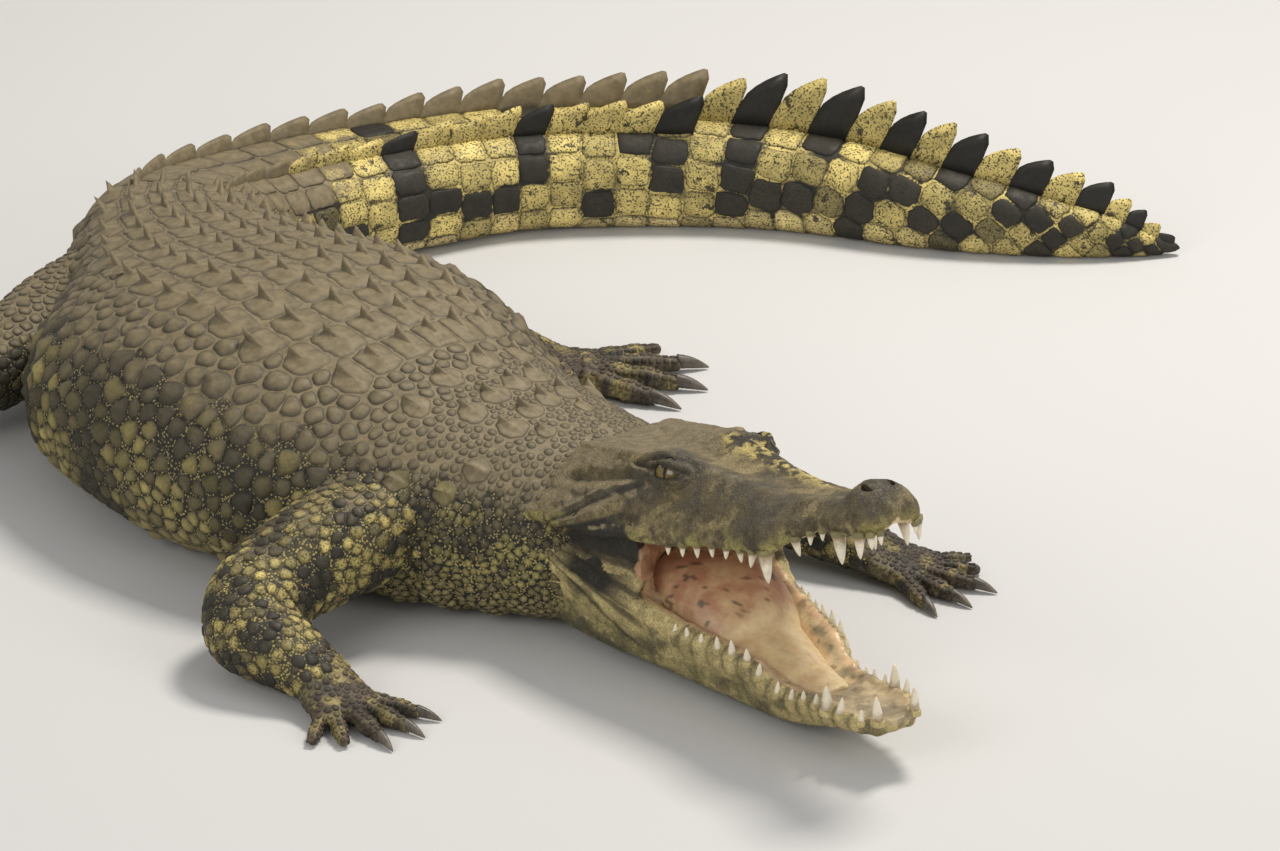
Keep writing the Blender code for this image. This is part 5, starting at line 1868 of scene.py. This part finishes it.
def eyeMaterial():
    material, shader, kit = newMaterial("crocodile_eye")
    put, read, grain, span, times, plus, blend, join, relief = kit
    gaze = read("gaze", "Vector")
    parts = put("SeparateXYZ", {0: gaze})
    x, y = parts.outputs[0], parts.outputs[1]
    flat = put("CombineXYZ", {0: x, 1: y}).outputs[0]
    out = put("VectorMath", {0: flat}, operation="LENGTH").outputs["Value"]
    finer = put("Mapping", {"Vector": gaze, "Scale": (3, 3, 3)}).outputs["Vector"]
    streaks = grain(9.0, 4.0, 0.7, finer)
    iris = blend(span(streaks, 0.35, 0.65), (0.075, 0.052, 0.012), (0.26, 0.18, 0.038))
    iris = blend(span(out, 0.45, 0.85), iris, (0.06, 0.042, 0.012))
    white = blend(span(streaks, 0.4, 0.6), (0.03, 0.022, 0.012), (0.075, 0.055, 0.03))
    colour = blend(span(out, 0.8, 0.88), iris, white)
    size = put("Math", {0: x}, operation="ABSOLUTE").outputs[0]
    slit = span(plus(size, times(times(y, y), 0.4)), 0.085, 0.115, 1.0, 0.0)
    join(blend(slit, colour, (0.004, 0.004, 0.004)), "Base Color")
    join(span(streaks, 0.3, 0.7, 0.14, 0.22), "Roughness")
    relief(streaks, 0.08, 0.0003)
    shader.inputs["Coat Weight"].default_value = 0.35
    shader.inputs["Coat Roughness"].default_value = 0.06
    return material


def dress(piece, material, slot, nodes):
    piece.data.materials.clear()
    piece.data.materials.append(material)
    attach(piece, "root")
    if nodes:
        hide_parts(*nodes)


def toothGrid(root, way, height, back):
    # a fluted cone, a little swollen at its base and bent back at its tip
    shares = np.linspace(0, 1, 14)
    across = unit(np.cross(way, back))
    other = np.cross(way, across)
    flutes = np.cos(circleAngles(16) * 8)
    base = height * teeth["slimness"] + teeth["base"]
    rings = []
    for share in shares:
        middle = root - way * teeth["root"] + way * share * (height + teeth["root"])
        middle = middle + back * height * 0.14 * share ** 2
        radius = base * max(1 - share ** 1.7, 0.0) ** 0.72 + 0.00025
        radius = radius * (1 + 0.035 * flutes * (1 - share))
        rings.append(ovalRing(middle, across, other, radius, radius * 0.88, 16))
    return np.array(rings)


def makeTeeth():
    grids = []
    for jaw in jaws:
        matrix = jaws[jaw][0]
        back = unit(-matrix[:3, 0])
        for root, way, height, side, behind in toothPlaces(jaw):
            inward = unit(matrix[:3, 1]) * -side
            bend = unit(back * (0.9 if behind > 0.05 else 0.5) + inward * 0.55)
            bend = unit(bend - way * (bend @ way))
            lean = unit(way + rng.normal(0, 0.07, 3))
            grids.append(toothGrid(root, lean, height * rng.uniform(0.92, 1.06), bend))
    mesh = joinedLofts(grids)
    storeValues(mesh, "share", ramp(0.12, 0.62, lengthShares(grids)))
    return newPiece("tooth_row", mesh)


def lengthShares(grids):
    # 0 at the root and 1 at the tip for every place of some lofts
    rings, points = grids[0].shape[:2]
    one = np.append(np.repeat(np.linspace(0, 1, rings), points), [0, 1])
    return np.tile(one, len(grids))


def makeGums():
    # a low collar of gum round every tooth
    grids, tints = [], []
    for jaw, tint in (("upper", "jawGreen"), ("lower", "jawCream")):
        for root, way, height, _, _ in toothPlaces(jaw):
            base = height * teeth["slimness"] + teeth["base"]
            across = unit(np.cross(way, jaws[jaw][0][:3, 0]))
            along = np.cross(across, way)
            rings = []
            for turn in np.linspace(0, math.pi / 2, 7):
                radius = base * (1.02 + 0.26 * math.cos(turn) ** 0.8)
                middle = root + way * (-0.006 + 0.0062 * math.sin(turn))
                rings.append(ovalRing(middle, across, along, radius, radius * 1.05, 14))
            grids.append(np.array(rings))
            tints.append(hide[tint])
    mesh = joinedLofts(grids)
    tint = np.repeat(np.array(tints), len(mesh.vertices) // len(grids), 0)
    storePaint(mesh, {"tint": tint, "mark": 0.2, "wet": 0.6, "crack": 0.3})
    return newPiece("gum_collars", mesh)


tongue = {
    # behind the jaw tip, half width, rise over the mouth's floor; it swells into the fold
    # of flesh that closes the throat
    "rows": ((0.215, 0.026, 0.008), (0.24, 0.040, 0.016), (0.34, 0.060, 0.020),
             (0.46, 0.088, 0.024), (0.515, 0.112, 0.064), (0.58, 0.128, 0.104),
             (0.66, 0.132, 0.114), (0.76, 0.130, 0.104)),
    "fold": (0.49, 0.53),
    "lump": 0.0014,
    "points": 56,
}


def makeTongue():
    rows = through(tongue["rows"], 9)
    angles = np.linspace(-0.35, math.pi + 0.35, tongue["points"])
    grid = []
    for behind, half, rise in rows:
        floor = lowerSize(behind)[4] - 0.004
        y = half * roundOff(np.cos(angles), 2.6)
        z = floor + (rise + 0.004) * roundOff(np.maximum(np.sin(angles), -0.35), 2.3)
        z = z - 0.004 * bump(y, 0, half * 0.12) * ramp(0.5, 0.44, behind)
        grid.append(np.column_stack([np.full(len(y), skull["lowerTip"] - behind), y, z]))
    grid = moved(lowFrame, np.array(grid))
    flat = grid.reshape(-1, 3)
    onFold = np.repeat(ramp(*tongue["fold"], rows[:, 0]), tongue["points"])
    rough = noiseAt(flat, 60, 4.0, 4) + 0.7 * noiseAt(flat, 190, 2.0, 2) * (1 - onFold)
    flat[:, 2] += tongue["lump"] * rough
    mesh = joinedLofts([grid])
    mottle = ramp(-0.2, 0.4, noiseAt(flat, 25, 3.0, 2))
    share = 0.84 - 0.52 * onFold - 0.3 * onFold * mottle
    storeValues(mesh, "share", np.append(share, [share[0], share[-1]]))
    specks = onFold * ramp(0.44, 0.56, noiseAt(flat, 95, 7.0, 2)) * 0.8
    storeValues(mesh, "fold", np.append(specks, [0, 0]))
    return newPiece("tongue_flesh", mesh)


def makeEye(name, side):
    piece, gaze = eyeball(name, side)
    storeValues(piece.data, "gaze", gaze, "FLOAT_VECTOR", "vector")
    return piece


def clawGrid(root, way, length, radius):
    # a tapering claw that bends down to the floor
    rings = []
    for share in np.linspace(0, 1, 16):
        point = root + way * length * share
        point[2] = radius * (1.45 - 0.25 * share - 0.85 * share ** 2)
        ridge = 1 + 0.03 * math.sin(share * 40)
        thick = radius * (1 - 0.4 * share - 0.48 * share ** 3) * ridge
        rings.append(tubeRing(point, way, thick * 0.8, thick, 16))
    return np.array(rings)


def makeClaws(name):
    length, radius = feet[name[-3:]]["claw"]
    grids = []
    for root, way, reach, _ in footPlan(name)[2][:feet["clawed"]]:
        quick = root + way * (reach + feet["setBack"] - feet["clawRoot"])
        grids.append(clawGrid(quick, way, length + feet["clawRoot"], radius))
    mesh = joinedLofts(grids)
    storeValues(mesh, "share", 0.25 + 0.5 * lengthShares(grids))
    return newPiece(name + "_claws", mesh)


def softLight(name, place, target, size, power, colour=(1, 1, 1)):
    lamp = bpy.data.lights.new(name, "AREA")
    lamp.shape = "RECTANGLE"
    lamp.size, lamp.size_y = size
    lamp.energy = power
    lamp.color = colour
    holder = newPiece(name, lamp)
    holder.location = place
    holder.rotation_euler = (Vector(target) - Vector(place)).to_track_quat("-Z", "Y").to_euler()


studio = {
    "distance": 14.0,
    "elevation": 24.0,
    "target": (0.4007, 0.0938, 0.0),
    "lens": 352.4,
    "floor": (0.60, 0.595, 0.58),
    "floorSize": 30,
    "sky": 0.42,
}


def makeStudio():
    camera = bpy.data.cameras.new("camera")
    camera.lens = studio["lens"]
    camera.sensor_width = 36.0
    camera.clip_end = 200.0
    elevation = math.radians(studio["elevation"])
    away = Vector((0, math.cos(elevation), -math.sin(elevation))) * studio["distance"]
    holder = newPiece("camera", camera)
    holder.location = Vector(studio["target"]) - away
    holder.rotation_euler = (math.radians(90) - elevation, 0, 0)
    bpy.context.scene.camera = holder
    bm = bmesh.new()
    bmesh.ops.create_grid(bm, x_segments=2, y_segments=2, size=studio["floorSize"])
    mesh = bpy.data.meshes.new("floor")
    bm.to_mesh(mesh)
    bm.free()
    material, shader, _ = newMaterial("studio_floor")
    shader.inputs["Base Color"].default_value = (*studio["floor"], 1)
    shader.inputs["Roughness"].default_value = 0.9
    mesh.materials.append(material)
    floor = newPiece("floor", mesh)
    softLight("key", (1.5, 1.0, 3.6), (0.3, 0, 0), (1.0, 1.0), 135, (1.0, 0.95, 0.88))
    softLight("fill", (-2.4, -3.4, 2.4), (0.2, 0, 0.1), (2.6, 2.2), 62, (1.0, 0.98, 0.95))
    softLight("front", (3.0, -3.0, 1.8), (0.5, -0.3, 0.1), (2.2, 1.8), 36)
    world = bpy.data.worlds.new("studio")
    bpy.context.scene.world = world
    world.use_nodes = True
    sky = world.node_tree.nodes["Background"]
    sky.inputs["Color"].default_value = (0.97, 0.98, 1.0, 1)
    sky.inputs["Strength"].default_value = studio["sky"]
    bpy.context.scene.view_settings.view_transform = "Standard"


def main():
    print("skin")
    skin = makeSkin()
    openEyes(skin)
    openNostrils(skin)
    skin.data.shade_smooth()
    places, normals = placesOf(skin.data), normalsOf(skin.data)
    paint = paintPlaces(places, normals, regionsOf(places))
    storePaint(skin.data, paint)
    print("scales")
    pieces, lookup, seeds = makeScales(skin)
    print("crest and keels")
    pieces += [makeCrest(), makeKeels(seeds, lookup), makeGums()]
    coat = hideMaterial()
    flesh = [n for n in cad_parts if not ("claw" in n or "eye" in n or n == "tongue")]
    dress(skin, coat, "hide", flesh)
    for piece in pieces:
        slot = "tail_skin" if "tail" in piece.name else "hide"
        slot = "foot_skin" if "foot" in piece.name else slot
        dress(piece, coat, slot, ())
    print("teeth, tongue, eyes and claws")
    dress(makeTeeth(), plainMaterial("ivory"), "jaw_skin", ())
    dress(makeTongue(), plainMaterial("tongue_flesh", speckled=True), "tongue", ("tongue",))
    horn = plainMaterial("claw_horn")
    wetEye = eyeMaterial()
    dress(makeEye("left_eyeball", 1), wetEye, "eye", ("eye_left",))
    dress(makeEye("right_eyeball", -1), wetEye, "eye", ("eye_right",))
    for name, end in zip(limbNames, ("right_hand", "left_hand", "right_foot", "left_foot")):
        nodes = [f"{end}_claw_{i + 1}" for i in range(feet["clawed"])]
        dress(makeClaws(name), horn, "claw", nodes)
    print("studio")
    makeStudio()


main()
